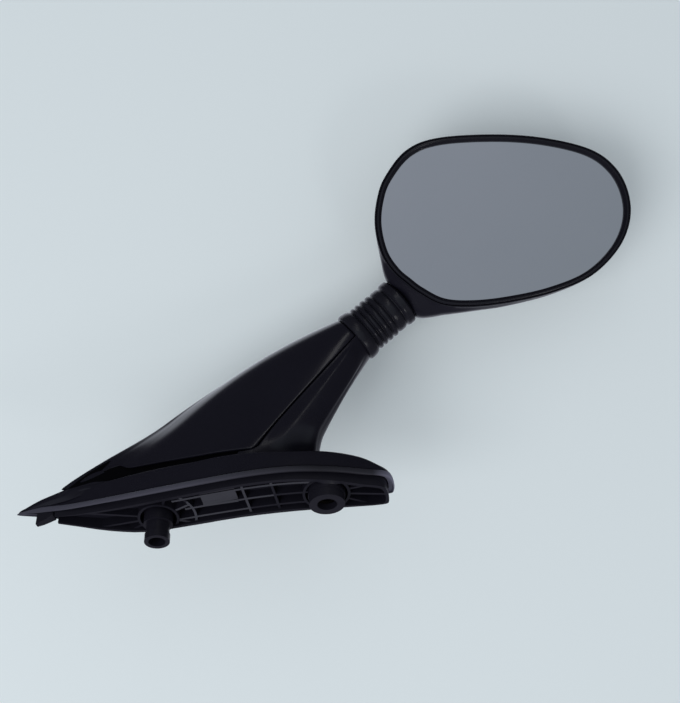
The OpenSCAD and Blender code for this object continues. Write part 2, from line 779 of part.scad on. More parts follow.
// Ring that screws into the socket's mouth and holds the lower seat
module retaining_ring() {
    color([0.6, 0.61, 0.63]) on_neck() difference() {
        translate([0, 0, socket_low]) cylinder(h = ring_top - socket_low, r = cavity_r - fit_gap);
        translate([0, 0, ball_height]) sphere(r = cavity_r);
        translate([0, 0, socket_low - cut_extra]) cylinder(h = ball_height, r = socket_mouth_r);
    }
}
module pressure_cup() {
    color([0.85, 0.85, 0.8]) on_neck() difference() {
        translate([0, 0, cup_low]) cylinder(h = cup_top - cup_low, r = cavity_r - 2 * fit_gap);
        translate([0, 0, ball_height]) sphere(r = cavity_r);
    }
}
// Two cone-shaped spring washers with their wide rims together
module disc_springs() {
    step = (spring_top - cup_top) / 2;
    rim_r = cavity_r - 2 * seat_gap;
    color([0.65, 0.66, 0.68]) on_neck(cup_top + step) for (side = [0, 1]) mirror([0, 0, side])
        rotate_extrude() polygon([
            [rim_r, 0], [rim_r, spring_sheet], [spring_hole_r, step], [spring_hole_r, step - spring_sheet]
        ]);
}
// Screw from inside the head that holds the socket to the chin
module socket_screw() {
    color([0.7, 0.7, 0.72]) on_neck() difference() {
        union() {
            translate([0, 0, spring_top + seat_gap])
                cylinder(h = screw_seat - spring_top, d = socket_screw_dia);
            translate([0, 0, screw_seat]) cylinder(h = screw_head_height, r = screw_head_r);
        }
        translate([0, 0, screw_seat + screw_head_height / 2])
            cylinder(h = screw_head_height, r = screw_key_r, $fn = 6);
    }
}

// Head outline at place s: size is a share of the front edge, chin a share of the chin
head_table = [
    for (row = head_rows) [
        row[0] * head_width / drawn_head_width,
        row[1] * head_height / drawn_head_height,
        row[2] * head_width / drawn_head_width,
        row[3] * head_height / drawn_head_height
    ]
];
function head_point(s, size, chin, inset) =
    let(
        r = curve_at(head_table, s),
        edge = [r[0], r[1]],
        push = [r[2] - r[0], r[3] - r[1]],
        hold = min(1, norm(push) / 8) * chin,
        base = edge * mix(size, 1, hold) + push * chin
    )
    [base[0] * (1 - inset / (head_width / 2)), base[1] * (1 - inset / (head_height / 2))];
head_steps = 3;
function head_ring(z, size, chin, inset) = [
    for (k = [0:head_steps * head_row_count - 1])
        let(p = head_point(k / head_steps, size, chin, inset)) [p[0], p[1], z]
];
module head_plan(inset) {
    polygon([for (k = [0:head_steps * head_row_count - 1]) head_point(k / head_steps, 1, 0, inset)]);
}

module head_housing() {
    deep = head_depth / drawn_head_depth;
    count = len(head_profile);
    ledge = carrier_back + seat_gap;
    housing_ledge = 3;
    color([0.06, 0.06, 0.07])
    difference() {
        in_head() ring_solid(concat(
            [for (k = [count - 1:-1:3])
                let(row = head_profile[k])
                head_ring(-row[0] * deep + housing_wall, row[1], row[2], housing_wall + 2 * seat_gap)],
            [head_ring(-ledge, 1, 0.5, housing_wall + housing_ledge)],
            [head_ring(-ledge, 1, 0, housing_lip)],
            [head_ring(0, 1, 0, housing_lip)],
            [for (row = head_profile) head_ring(-row[0] * deep, row[1], row[2], 0)]
        ));
        on_neck() cylinder(h = chin_start, r = boot_rib_dia / 2 + 2 * seat_gap);
        on_neck(ball_height) cylinder(h = boot_length, d = socket_screw_dia + 2 * seat_gap);
        on_neck(screw_seat) cylinder(h = 3 * screw_head_height, r = screw_head_r + cut_extra);
    }
}

// Ring that runs round the head's outline with one profile of inset and height
module head_ring_solid(profile) {
    n = head_steps * head_row_count;
    m = len(profile);
    points = [
        for (k = [0:n - 1], row = profile)
            let(p = head_point(k / head_steps, 1, 0, row[0])) [p[0], p[1], row[1]]
    ];
    faces = [
        for (k = [0:n - 1], j = [0:m - 1])
            let(here = k * m, next = ((k + 1) % n) * m, after = (j + 1) % m)
            for (face = [
                [here + j, next + j, here + after],
                [here + after, next + j, next + after]
            ]) face
    ];
    polyhedron(points, faces, convexity = 6);
}
module head_bezel() {
    outer = bezel_inset;
    inner = bezel_inset + bezel_width;
    color([0.04, 0.04, 0.05]) in_head() head_ring_solid([
        [outer, -lip_depth - glass_thickness],
        [outer, bezel_proud - 0.9],
        [outer + 0.8, bezel_proud],
        [inner - 1.2, bezel_proud],
        [inner, bezel_proud - 1.6],
        [inner, -lip_depth],
        [outer + bezel_rebate, -lip_depth],
        [outer + bezel_rebate, -lip_depth - glass_thickness]
    ]);
}
module mirror_glass() {
    color([0.55, 0.58, 0.62]) in_head() translate([0, 0, -lip_depth - glass_thickness])
        linear_extrude(glass_thickness) head_plan(glass_inset);
}
module glass_pad() {
    color([0.2, 0.2, 0.2]) in_head() translate([0, 0, -lip_depth - glass_thickness - pad_thickness])
        linear_extrude(pad_thickness) head_plan(pad_inset);
}
module glass_carrier() {
    color([0.12, 0.12, 0.13]) in_head() translate([0, 0, -carrier_back])
        linear_extrude(carrier_thickness) head_plan(bezel_inset + 0.1);
}

arm_frame();
arm_cover();
mount_frame();
base_gasket();
main_stud_insert();
second_stud_insert();
ball_stud();
stud_washer();
stud_nut();
neck_boot();
ball_seat_lower();
ball_seat_upper();
ball_socket();
retaining_ring();
pressure_cup();
disc_springs();
socket_screw();
head_housing();
head_bezel();
mirror_glass();
glass_pad();
glass_carrier();
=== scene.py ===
import math

import bmesh
import bpy
import numpy as np
from mathutils import Matrix


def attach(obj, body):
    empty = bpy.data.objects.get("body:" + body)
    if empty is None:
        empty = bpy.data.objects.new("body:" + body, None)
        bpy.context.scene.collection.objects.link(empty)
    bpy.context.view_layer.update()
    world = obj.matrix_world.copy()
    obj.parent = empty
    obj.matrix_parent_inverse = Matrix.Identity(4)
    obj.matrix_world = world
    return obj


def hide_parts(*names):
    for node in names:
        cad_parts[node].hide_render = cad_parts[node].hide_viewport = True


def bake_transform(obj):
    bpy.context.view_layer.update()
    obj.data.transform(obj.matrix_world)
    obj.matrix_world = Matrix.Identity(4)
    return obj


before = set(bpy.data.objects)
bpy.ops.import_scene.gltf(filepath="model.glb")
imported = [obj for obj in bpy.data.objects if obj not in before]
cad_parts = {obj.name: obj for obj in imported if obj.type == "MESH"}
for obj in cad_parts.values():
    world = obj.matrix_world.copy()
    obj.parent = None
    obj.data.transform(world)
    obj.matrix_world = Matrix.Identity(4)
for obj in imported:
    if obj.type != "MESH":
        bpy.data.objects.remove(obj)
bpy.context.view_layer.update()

# Looks of a scooter mirror that bolts to the side of a front fairing by two studs.
# Sizes are in millimetres in the part's own frame: the bottom of the rubber gasket is the XY plane,
# the main stud is the Z axis, +X runs to the foot's blunt end and -Y is the rider's side.
# Every surface is worked out on a grid of two parameters and is turned into metres at the end.
MM = 0.001
TURN = 2 * np.pi

# Foot
GASKET_HEIGHT = 4.0
TIP_HEIGHT = 0.8
TIP_TAPER = 15.0
SHELL_WALL = 2.6
SEAT_GAP = 0.3

# Foot outline, tip first, along the rider's side, round the blunt end and back. Each row is
# x, y, y of the middle line, height of the wall, and angle in the arm's section in degrees.
FOOT_ROWS = np.array([
    [-191, -18, -18, 2.4, 180],
    [-176, -17.4, -14.5, 7.4, 188],
    [-158, -16.8, -9.3, 12.8, 200],
    [-130, -18.8, -4, 16.6, 220],
    [-100, -21.3, -3.7, 17.8, 238],
    [-70, -23.4, -5, 17.5, 255],
    [-42, -24.5, -5.5, 17.4, 275],
    [-16, -22.6, -4, 15.4, 300],
    [8, -16, 0.4, 16.2, 320],
    [27, -7.6, 5, 14.8, 338],
    [37.5, -3.2, 7.2, 9.4, 350],
    [41, 2, 8, 8, 356],
    [41, 15, 8, 8, 4],
    [36, 18.3, 7, 9, 12],
    [12, 17, 1.2, 13, 35],
    [-20, 14.5, -4.2, 17, 65],
    [-55, 13, -5.4, 20, 90],
    [-90, 14, -4, 19.5, 112],
    [-118, 13.6, -3, 18.5, 130],
    [-140, 7, -5.5, 16.5, 148],
    [-160, -3, -9.8, 12, 160],
    [-178, -11.8, -15, 6.8, 172],
])
FOOT_MIDDLE_X = -74.5
FOOT_MIDDLE_Y = -4.0
FOOT_HALF_LENGTH = 115.5
FOOT_HALF_WIDTH = 18.5
FOOT_TABLE = np.column_stack([
    FOOT_ROWS[:, :4],
    np.cos(np.radians(FOOT_ROWS[:, 4])),
    np.sin(np.radians(FOOT_ROWS[:, 4])),
])
PLACES_ROUND = len(FOOT_ROWS)
# Deck between the outline and the arm's foot: the power of its rise, which is even near the tip
DECK_POWER = 3
TIP_DECK_REACH = 1.5

# Neck, on an axis that leans towards the mirror head and the rider
NECK_TOP = np.array([27.5, -11.0, 107.6])
NECK_RAKE = np.radians(59.0)
NECK_LEAN = np.radians(12.0)
NECK_AXIS = np.array([
    np.cos(NECK_LEAN) * np.sin(NECK_RAKE),
    -np.sin(NECK_LEAN),
    np.cos(NECK_LEAN) * np.cos(NECK_RAKE),
])
ARM_TOP_R = 16.5
ARM_FOOT_HALF = 15.5
SPIGOT_R = 14.5
SPIGOT_HEIGHT = 6.0
SPIGOT_EDGE = 0.4
CAP_THICKNESS = 7.0
SHANK_R = 4.5
BALL_HEIGHT = 21.0

# Arm between its ridge and its strut, in X and Z
RIDGE = np.array([[-162.5, 12.4], [-80.0, 93.8]])
STRUT = np.array([[-6.0, 21.0], [-5.0, 34.0], [14.0, 54.6]])
FOOT_SECTION_Y = -5.0
ARM_WAIST = 1.5
# Runs: the place or level where a change starts, and how far it goes on
LEAF_RUN = (0, 0.9)
LEAN_RUN = (0, 0.35)

# Cover's seams, as places along the foot's rows and as shares of the arm's height
COVER_BACK = -1.7
COVER_FRONT_LOW = 7.27
COVER_FRONT_TURN = 0.05
COVER_CORNER = 0.6
COVER_CORNER_RISE = 0.07
COVER_LEVEL = 0.026
COVER_EDGE = 0.14
COVER_LIFT = 0.026
LOW_SEAM_BLEND = 0.14
LOW_SEAM_TIP = 0.008
LOW_SEAM_RISE = 0.052
LOW_SEAM_FALL = 0.034
LOW_SEAM_RISE_RUN = (0.2, 1.1)
LOW_SEAM_FALL_RUN = (2.6, 4)
LOW_SEAM_BACK_RUN = (12, 6)
TIP_SLOT = 0.04
TIP_SLOT_PLACE = 1.7
TIP_SLOT_HALF = 0.9
TIP_DROP = 0.03
TIP_DROP_RUN = (0.5, 0.7)
COVER_THICKNESS = 2.2
COVER_SEAT_DEPTH = 2.8

# Rubber boot
BOOT_LENGTH = 40.5
BOOT_RIB_R = 16.7
BOOT_VALLEY_R = 15.3

# Mirror head, in a frame of its own: X across, Y up and Z out of the glass
HEAD_WIDTH = 170.6
HEAD_HEIGHT = 114.8
HEAD_DEPTH = 46.0
HEAD_ANGLES = np.radians([131.6, 3.7, 9.35])
BALL_TO_HEAD = np.array([82.6, 66.1, 14.8])
HOUSING_WALL = 2.4
HOUSING_LIP = 0.9
HOUSING_LEDGE = 3
BEZEL_REBATE = 1.6
BEZEL_INSET = HOUSING_LIP + SEAT_GAP
LIP_DEPTH = 1.9
GLASS_THICKNESS = 2.2
PAD_THICKNESS = 0.8
CARRIER_THICKNESS = 2.0
CARRIER_BACK = LIP_DEPTH + GLASS_THICKNESS + PAD_THICKNESS + CARRIER_THICKNESS
GLASS_INSET = BEZEL_INSET + BEZEL_REBATE + SEAT_GAP
DRAWN_HEAD = np.array([172.0, 116.0])
CHIN_FADE = 8
# Each row is x and y of the front edge, then x and y of the chin that meets the neck
HEAD_ROWS = np.array([
    [-86, -4, -86, -5],
    [-84.5, 14, -84.5, 14],
    [-79, 29, -79, 29],
    [-65, 46.5, -65, 46.5],
    [-44, 54.8, -44, 54.8],
    [-6, 57.2, -6, 57.2],
    [28, 54.8, 28, 54.8],
    [58.5, 47.3, 58.5, 47.3],
    [75.5, 35, 75.5, 35],
    [84.3, 18, 84.3, 18],
    [85.3, -1, 85.3, -1],
    [77.2, -20.3, 77.2, -20.3],
    [59, -38.3, 59.3, -38.8],
    [33, -49.5, 33.5, -50.8],
    [5, -56, 3.5, -58.5],
    [-20, -59, -18, -61.8],
    [-41, -57.8, -38, -64],
    [-56.5, -50, -57, -65],
    [-65.3, -43.3, -67.4, -53],
    [-73.8, -35.7, -78, -40.5],
    [-81.8, -23, -82, -27.5],
])
HEAD_TABLE = HEAD_ROWS * np.tile(np.array([HEAD_WIDTH, HEAD_HEIGHT]) / DRAWN_HEAD, 2)
# Each row is depth, size as a share of the front edge, and share of the chin
HEAD_PROFILE = np.array([
    [0, 1, 0],
    [2.5, 1, 0.25],
    [6, 0.995, 0.8],
    [11, 0.985, 1],
    [18, 0.965, 1],
    [25, 0.92, 1],
    [31, 0.85, 0.9],
    [36.5, 0.75, 0.65],
    [41, 0.6, 0.35],
    [44.5, 0.4, 0.1],
    [46, 0.2, 0],
])

# Camera: where it stands, and the picture's right, up and backward directions
CAMERA_PLACE = np.array([69.2, -500.1, -336.7])
PICTURE_RIGHT = np.array([0.9847, 0.1622, -0.064])
PICTURE_UP = np.array([0.1551, -0.6474, 0.7462])
TOWARDS_CAMERA = np.array([0.0796, -0.7447, -0.6626])
LENS = 50.0
SENSOR = 36.0
STAGE_DISTANCE = 702.0
STAGE_HALF = 1400.0
SHEET_GLOW = 0.12


# Curves and frames

def unit(v):
    return v / np.linalg.norm(v, axis=-1, keepdims=True)


def mix(a, b, share):
    return a + (b - a) * share


def ease(share):
    c = np.clip(share, 0, 1)
    return c * c * (3 - 2 * c)


def ease_over(place, run):
    """Soft step from 0 to 1 over a run of places or levels."""
    start, length = run
    return ease((place - start) / length)


def cubic(a, b, c, d, u):
    """Cubic from b to c whose slope at each is half the step between its neighbours."""
    curve = 2 * b + (c - a) * u + (2 * a - 5 * b + 4 * c - d) * u**2
    return 0.5 * (curve + (3 * b - a - 3 * c + d) * u**3)


def closed_curve(rows, s):
    """Smooth closed curve through all rows, where a whole place s is a row."""
    n = len(rows)
    whole = np.floor(s)
    i = whole.astype(int) % n
    u = (s - whole)[..., None]
    a, b, c, d = rows[(i - 1) % n], rows[i], rows[(i + 1) % n], rows[(i + 2) % n]
    return cubic(a, b, c, d, u)


def open_curve(rows, u):
    """Smooth curve through an open run of rows, u from 0 to 1, with the ends repeated."""
    held = np.vstack([rows[:1], rows, rows[-1:]])
    w = np.clip(u, 0, 1) * (len(rows) - 1)
    i = np.minimum(w.astype(int), len(rows) - 2)
    t = (w - i)[..., None]
    a, b, c, d = held[i], held[i + 1], held[i + 2], held[i + 3]
    return cubic(a, b, c, d, t)


def bezier(points, u):
    """Bezier curve by repeated mixing of neighbours."""
    while len(points) > 1:
        points = [mix(a, b, u[..., None]) for a, b in zip(points, points[1:])]
    return points[0]


NECK_ACROSS = unit(np.array([NECK_AXIS[2], 0, -NECK_AXIS[0]]))
NECK_DEPTH = np.cross(NECK_AXIS, NECK_ACROSS)
RIDGE_END = (NECK_TOP - ARM_TOP_R * NECK_ACROSS)[[0, 2]]
STRUT_END = (NECK_TOP + ARM_TOP_R * NECK_ACROSS)[[0, 2]]
BALL_CENTRE = NECK_TOP + BALL_HEIGHT * NECK_AXIS


def turn_about(axis, angle):
    """Matrix of a turn about one of the three axes."""
    c, s = np.cos(angle), np.sin(angle)
    a, b = [(1, 2), (2, 0), (0, 1)][axis]
    m = np.eye(3)
    m[a, a], m[a, b], m[b, a], m[b, b] = c, -s, s, c
    return m


TURN_X, TURN_Y, TURN_Z = (turn_about(axis, angle) for axis, angle in enumerate(HEAD_ANGLES))
HEAD_TURN = TURN_Z @ TURN_Y @ TURN_X


def out_of_head(points):
    """Points of the head's frame in the part's frame."""
    return (points + BALL_TO_HEAD) @ HEAD_TURN.T + BALL_CENTRE


def gasket_top(x):
    """Height of the gasket at X, lower over a short taper at the tip."""
    return mix(TIP_HEIGHT, GASKET_HEIGHT, np.clip((x - FOOT_ROWS[0, 0]) / TIP_TAPER, 0, 1))


def foot_point(s, inset):
    """Foot outline in plan at place s, drawn in by an inset that narrows towards the tip."""
    r = closed_curve(FOOT_TABLE, s)
    x = r[..., 0] - (r[..., 0] - FOOT_MIDDLE_X) * inset / FOOT_HALF_LENGTH
    y = r[..., 2] + (r[..., 1] - r[..., 2]) * (1 - inset / FOOT_HALF_WIDTH)
    return np.stack([x, y], -1)


def arm_point(level, s, inset):
    """Arm's skin at a level from 0, the foot, to 1, the neck.

    A section is a leaf at the foot and turns into a circle as it rises. Its long way runs from
    the ridge's curve to the strut's at that level, and its half thickness dips at mid height.
    """
    level, s, inset = np.broadcast_arrays(np.asarray(level, float), s, inset)
    r = closed_curve(FOOT_TABLE, s)
    left = bezier([RIDGE[0], RIDGE[1], RIDGE_END], level)
    right = bezier([STRUT[0], STRUT[1], STRUT[2], STRUT_END], level)
    half_long = np.linalg.norm(right - left, axis=-1) / 2
    half_thick = mix(ARM_FOOT_HALF, ARM_TOP_R, ease(level)) - ARM_WAIST * np.sin(np.pi * level)
    leaf = np.stack([
        (r[..., 0] - FOOT_MIDDLE_X) / FOOT_HALF_LENGTH,
        (r[..., 1] - r[..., 2]) / FOOT_HALF_WIDTH,
    ], -1)
    flat = mix(leaf, unit(r[..., 4:6]), ease_over(level, LEAF_RUN)[..., None])
    span = unit(right - left)
    along = np.stack([span[..., 0], 0 * level, span[..., 1]], -1)
    over = unit(mix(np.array([0, 1.0, 0]), NECK_DEPTH, ease(level)[..., None]))
    lean = (r[..., 2] - FOOT_MIDDLE_Y) * (1 - ease_over(level, LEAN_RUN))
    centre = np.stack([
        (left + right)[..., 0] / 2,
        mix(FOOT_SECTION_Y, NECK_TOP[1], ease(level)) + lean,
        (left + right)[..., 1] / 2,
    ], -1)
    return (
        centre
        + along * (flat[..., 0] * (half_long - inset))[..., None]
        + over * (flat[..., 1] * (half_thick - inset))[..., None]
    )


def wall_point(s, share, rise, inset, drop):
    """Foot's wall and deck.

    Share goes from the outline to the arm's foot, and rise from the gasket to the wall's top.
    The deck lifts with the cube of the share, or evenly near the tip.
    """
    r = closed_curve(FOOT_TABLE, s)
    low = foot_point(s, inset)
    high = arm_point(np.zeros_like(s), s, inset)
    plan = mix(low, high[..., :2], share)
    bottom = gasket_top(plan[..., 0]) + SEAT_GAP
    top = np.maximum(r[..., 3] - drop, bottom + SEAT_GAP)
    half_round = PLACES_ROUND / 2
    from_tip = np.abs((s + half_round) % PLACES_ROUND - half_round)
    power = mix(DECK_POWER, 1, ease(1 - from_tip / TIP_DECK_REACH))
    z = mix(bottom, top, rise) + (high[..., 2] - drop - top) * share**power
    return np.concatenate([plan, z[..., None]], -1)


def neck_point(height, radius, around):
    """Point round the neck's axis."""
    height, radius, around = np.broadcast_arrays(height, radius, around)
    return (
        NECK_TOP
        + height[..., None] * NECK_AXIS
        + (radius * np.cos(around))[..., None] * NECK_ACROSS
        + (radius * np.sin(around))[..., None] * NECK_DEPTH
    )


def cover_front(level):
    """Front seam of the cover: up the strut, with a round corner at the foot."""
    u = np.clip((level - COVER_LEVEL) / COVER_CORNER_RISE, 0, 1)
    corner = COVER_CORNER * (1 - np.sqrt(1 - (1 - u) ** 2))
    return COVER_FRONT_LOW - COVER_FRONT_TURN * level - corner


def seam_level(s):
    """Level of the cover's low seam: low at the tip, high behind it, and falling to the strut."""
    return (
        LOW_SEAM_TIP
        + LOW_SEAM_RISE * ease_over(s, LOW_SEAM_RISE_RUN)
        - LOW_SEAM_FALL * ease_over(s, LOW_SEAM_FALL_RUN)
        - (LOW_SEAM_RISE - LOW_SEAM_FALL) * ease_over(s, LOW_SEAM_BACK_RUN)
    )


def ring_level(level, s):
    """Level of a ring at place s, where the rings near the foot are bent to follow the low seam."""
    seam = seam_level(s)
    below = level * seam / COVER_LEVEL
    above = mix(seam, LOW_SEAM_BLEND, (level - COVER_LEVEL) / (LOW_SEAM_BLEND - COVER_LEVEL))
    return np.where(level < COVER_LEVEL, below, np.where(level < LOW_SEAM_BLEND, above, level))


def slot_rise(level, s):
    """How far the cover's rings leave the arm's: up behind the tip, for a slot, and down at it."""
    slot = TIP_SLOT * ease(1 - np.abs(s - TIP_SLOT_PLACE) / TIP_SLOT_HALF)
    drop = TIP_DROP * (1 - ease_over(s, TIP_DROP_RUN))
    return (slot - drop) * np.clip(1 - level / LOW_SEAM_BLEND, 0, 1)


def head_point(s, size, chin, inset):
    """Head's outline at place s, pushed out to the chin by a share and drawn in by an inset."""
    r = closed_curve(HEAD_TABLE, s)
    edge = r[..., :2]
    push = r[..., 2:] - edge
    hold = np.minimum(1, np.linalg.norm(push, axis=-1) / CHIN_FADE) * chin
    base = edge * mix(size, 1, hold)[..., None] + push * np.asarray(chin)[..., None]
    half_size = np.array([HEAD_WIDTH, HEAD_HEIGHT]) / 2
    return base * (1 - np.asarray(inset)[..., None] / half_size)


# Meshes

def grid_index(rows, cols):
    """Numbers of the points of a grid, row by row."""
    return np.arange(rows * cols).reshape(rows, cols)


def quads(index, close_rows=False, close_cols=False):
    """Four-sided faces between neighbours of a grid of numbers, which may close either way."""
    if close_rows:
        index = np.vstack([index, index[:1]])
    if close_cols:
        index = np.hstack([index, index[:, :1]])
    corners = [index[:-1, :-1], index[:-1, 1:], index[1:, 1:], index[1:, :-1]]
    return np.stack(corners, -1).reshape(-1, 4)


def volume_of(points, faces):
    """Six times the signed volume under a set of faces, from each face's fan of triangles."""
    a = points[faces[:, 0]]
    return sum(
        np.einsum("ij,ij->i", a, np.cross(points[faces[:, k]], points[faces[:, k + 1]])).sum()
        for k in range(1, faces.shape[1] - 1)
    )


def piece(name, points, face_sets, material, smooth_angle=35):
    """Object at the origin from points in millimetres and sets of faces that close a volume.

    Where the volume comes out negative, all faces are turned, so that they point outwards.
    """
    points = points.reshape(-1, 3)
    if sum(volume_of(points, faces) for faces in face_sets) < 0:
        face_sets = [faces[:, ::-1] for faces in face_sets]
    numbers = np.concatenate([f.ravel() for f in face_sets])
    used, renumbered = np.unique(numbers, return_inverse=True)
    sizes = np.concatenate([np.full(len(f), f.shape[1]) for f in face_sets])
    starts = np.concatenate([[0], np.cumsum(sizes)[:-1]])
    mesh = bpy.data.meshes.new(name)
    mesh.vertices.add(len(used))
    mesh.vertices.foreach_set("co", (points[used] * MM).astype(np.float32).ravel())
    mesh.loops.add(len(renumbered))
    mesh.loops.foreach_set("vertex_index", renumbered.astype(np.int32).ravel())
    mesh.polygons.add(len(sizes))
    mesh.polygons.foreach_set("loop_start", starts.astype(np.int32))
    mesh.update(calc_edges=True)
    mesh.validate()
    mesh.materials.append(material)
    mesh.shade_smooth()
    mesh.set_sharp_from_angle(angle=math.radians(smooth_angle))
    made = bpy.data.objects.new(name, mesh)
    bpy.context.scene.collection.objects.link(made)
    return made


def hollow_ring(name, grid, material, **finish):
    """Piece whose grid closes in both directions."""
    index = grid_index(*grid.shape[:2])
    return piece(name, grid, [quads(index, True, True)], material, **finish)


def closed_shell(name, grid, material, **finish):
    """Piece from a run of closed rings, with a point in the middle of the first and the last."""
    rows, cols = grid.shape[:2]
    index = grid_index(rows, cols)
    points = np.vstack([grid.reshape(-1, 3), grid[0].mean(0), grid[-1].mean(0)])
    first, last = rows * cols, rows * cols + 1
    start = np.stack([np.roll(index[0], -1), index[0], np.full(cols, first)], -1)
    end = np.stack([index[-1], np.roll(index[-1], -1), np.full(cols, last)], -1)
    return piece(name, points, [quads(index, False, True), start, end], material, **finish)


def pillow(name, top, under, material, **finish):
    """Piece from two grids that share their border."""
    rows, cols = top.shape[:2]
    upper = grid_index(rows, cols)
    lower = upper + rows * cols
    border = np.ones((rows, cols), bool)
    border[1:-1, 1:-1] = False
    lower = np.where(border, upper, lower)
    points = np.vstack([top.reshape(-1, 3), under.reshape(-1, 3)])
    return piece(name, points, [quads(upper), quads(lower)[:, ::-1]], material, **finish)


def spread(marks, counts):
    """Numbers that run through the marks, with a count of equal steps between each two."""
    runs = [np.linspace(a, b, n, endpoint=False) for a, b, n in zip(marks, marks[1:], counts)]
    return np.concatenate(runs + [np.array(marks[-1:], float)])


# Materials

def set_inputs(made, values):
    """Values of a node's inputs, as pairs of name or number and value."""
    for key, value in values:
        made.inputs[key].default_value = value


def node(tree, kind, place, values=(), **settings):
    """New node at a place of the tree, with its settings and the values of its inputs."""
    made = tree.nodes.new(kind)
    made.location = place
    for key, value in settings.items():
        setattr(made, key, value)
    set_inputs(made, values)
    return made


def between(low, high):
    """Inputs of a range node that starts at one value and is full at another."""
    return [("From Min", low), ("From Max", high)]


def wire(source, output, target, entry):
    """Link from an output of one node to an input of another."""
    source.id_data.links.new(source.outputs[output], target.inputs[entry])


def effect_group(name, numbers, outputs):
    """Empty node group with a Vector input, named number inputs and named outputs."""
    group = bpy.data.node_groups.new(name, "ShaderNodeTree")
    group.interface.new_socket("Vector", in_out="INPUT", socket_type="NodeSocketVector")
    for label, value in numbers.items():
        socket = group.interface.new_socket(label, in_out="INPUT", socket_type="NodeSocketFloat")
        socket.default_value = value
    for label in outputs:
        group.interface.new_socket(label, in_out="OUTPUT", socket_type="NodeSocketFloat")
    return group, node(group, "NodeGroupInput", (-900, 0)), node(group, "NodeGroupOutput", (700, 0))


def moulded_grain():
    """Fine spark-eroded grain: small cells for the height, and broad clouds for the tone."""
    group, given, result = effect_group(
        "moulded grain", {"Grain size": 900.0, "Cloud size": 30.0}, ["Height", "Tone"],
    )
    cells = node(group, "ShaderNodeTexVoronoi", (-600, 150), feature="SMOOTH_F1")
    fine = node(group, "ShaderNodeTexNoise", (-600, -100), [("Detail", 3.0)])
    clouds = node(group, "ShaderNodeTexNoise", (-600, -350), [("Detail", 4.0)])
    blend = node(group, "ShaderNodeMath", (-200, 50), [(1, 0.6)], operation="MULTIPLY_ADD")
    for texture in (cells, fine, clouds):
        wire(given, "Vector", texture, "Vector")
    wire(given, "Grain size", cells, "Scale")
    wire(given, "Grain size", fine, "Scale")
    wire(given, "Cloud size", clouds, "Scale")
    wire(cells, "Distance", blend, 0)
    wire(fine, "Fac", blend, 2)
    wire(blend, 0, result, "Height")
    wire(clouds, "Fac", result, "Tone")
    return group


def handling_marks():
    """Thin stretched noise for scuffs, and soft patches where hands have polished or dusted."""
    group, given, result = effect_group(
        "handling marks", {"Scuff size": 60.0, "Patch size": 14.0}, ["Scuffs", "Patches"],
    )
    stretch = node(
        group, "ShaderNodeMapping", (-700, 150),
        [("Scale", (1.0, 6.0, 2.2)), ("Rotation", (0.3, 0.5, 0.7))],
    )
    scuffs = node(group, "ShaderNodeTexNoise", (-450, 150), [("Detail", 6.0)])
    sharpen = node(group, "ShaderNodeMapRange", (-200, 150), between(0.55, 0.75))
    patches = node(group, "ShaderNodeTexNoise", (-450, -150), [("Detail", 5.0)])
    wire(given, "Vector", stretch, "Vector")
    wire(stretch, "Vector", scuffs, "Vector")
    wire(given, "Scuff size", scuffs, "Scale")
    wire(scuffs, "Fac", sharpen, "Value")
    wire(given, "Vector", patches, "Vector")
    wire(given, "Patch size", patches, "Scale")
    wire(sharpen, "Result", result, "Scuffs")
    wire(patches, "Fac", result, "Patches")
    return group


GRAIN = moulded_grain()
MARKS = handling_marks()
# Depth of the moulded grain in metres
GRAIN_DEPTH = 0.0001


def finish_of(
    name, dark, light, rough,
    grain=0.0, grain_size=900.0, metal=0.0, specular=0.5, coat=0.0, scuff=0.1,
):
    """Material of one finish: two tones mixed by clouds, and a grained bump.

    Rough is the lowest and highest roughness, which the patches move and the scuffs add to.
    """
    material = bpy.data.materials.new(name)
    material.use_nodes = True
    tree = material.node_tree
    shader = tree.nodes["Principled BSDF"]
    place = node(tree, "ShaderNodeTexCoord", (-1200, 0))
    grained = node(tree, "ShaderNodeGroup", (-950, 150), node_tree=GRAIN)
    marked = node(tree, "ShaderNodeGroup", (-950, -150), node_tree=MARKS)
    set_inputs(grained, [("Grain size", grain_size)])
    tones = [("A", (*dark, 1)), ("B", (*light, 1))]
    tone = node(tree, "ShaderNodeMix", (-600, 200), tones, data_type="RGBA")
    limits = between(0.3, 0.7) + [("To Min", rough[0]), ("To Max", rough[1])]
    roughness = node(tree, "ShaderNodeMapRange", (-600, -50), limits)
    scuffed = node(tree, "ShaderNodeMath", (-350, -100), [(1, scuff)], operation="MULTIPLY_ADD")
    wire(place, "Object", grained, "Vector")
    wire(place, "Object", marked, "Vector")
    wire(grained, "Tone", tone, "Factor")
    wire(tone, "Result", shader, "Base Color")
    wire(marked, "Patches", roughness, "Value")
    wire(marked, "Scuffs", scuffed, 0)
    wire(roughness, "Result", scuffed, 2)
    wire(scuffed, 0, shader, "Roughness")
    if grain:
        relief = [("Strength", grain), ("Distance", GRAIN_DEPTH)]
        bump = node(tree, "ShaderNodeBump", (-350, 100), relief)
        wire(grained, "Height", bump, "Height")
        wire(bump, "Normal", shader, "Normal")
    set_inputs(shader, [
        ("Metallic", metal), ("Specular IOR Level", specular),
        ("Coat Weight", coat), ("Coat Roughness", 0.05),
    ])
    return material


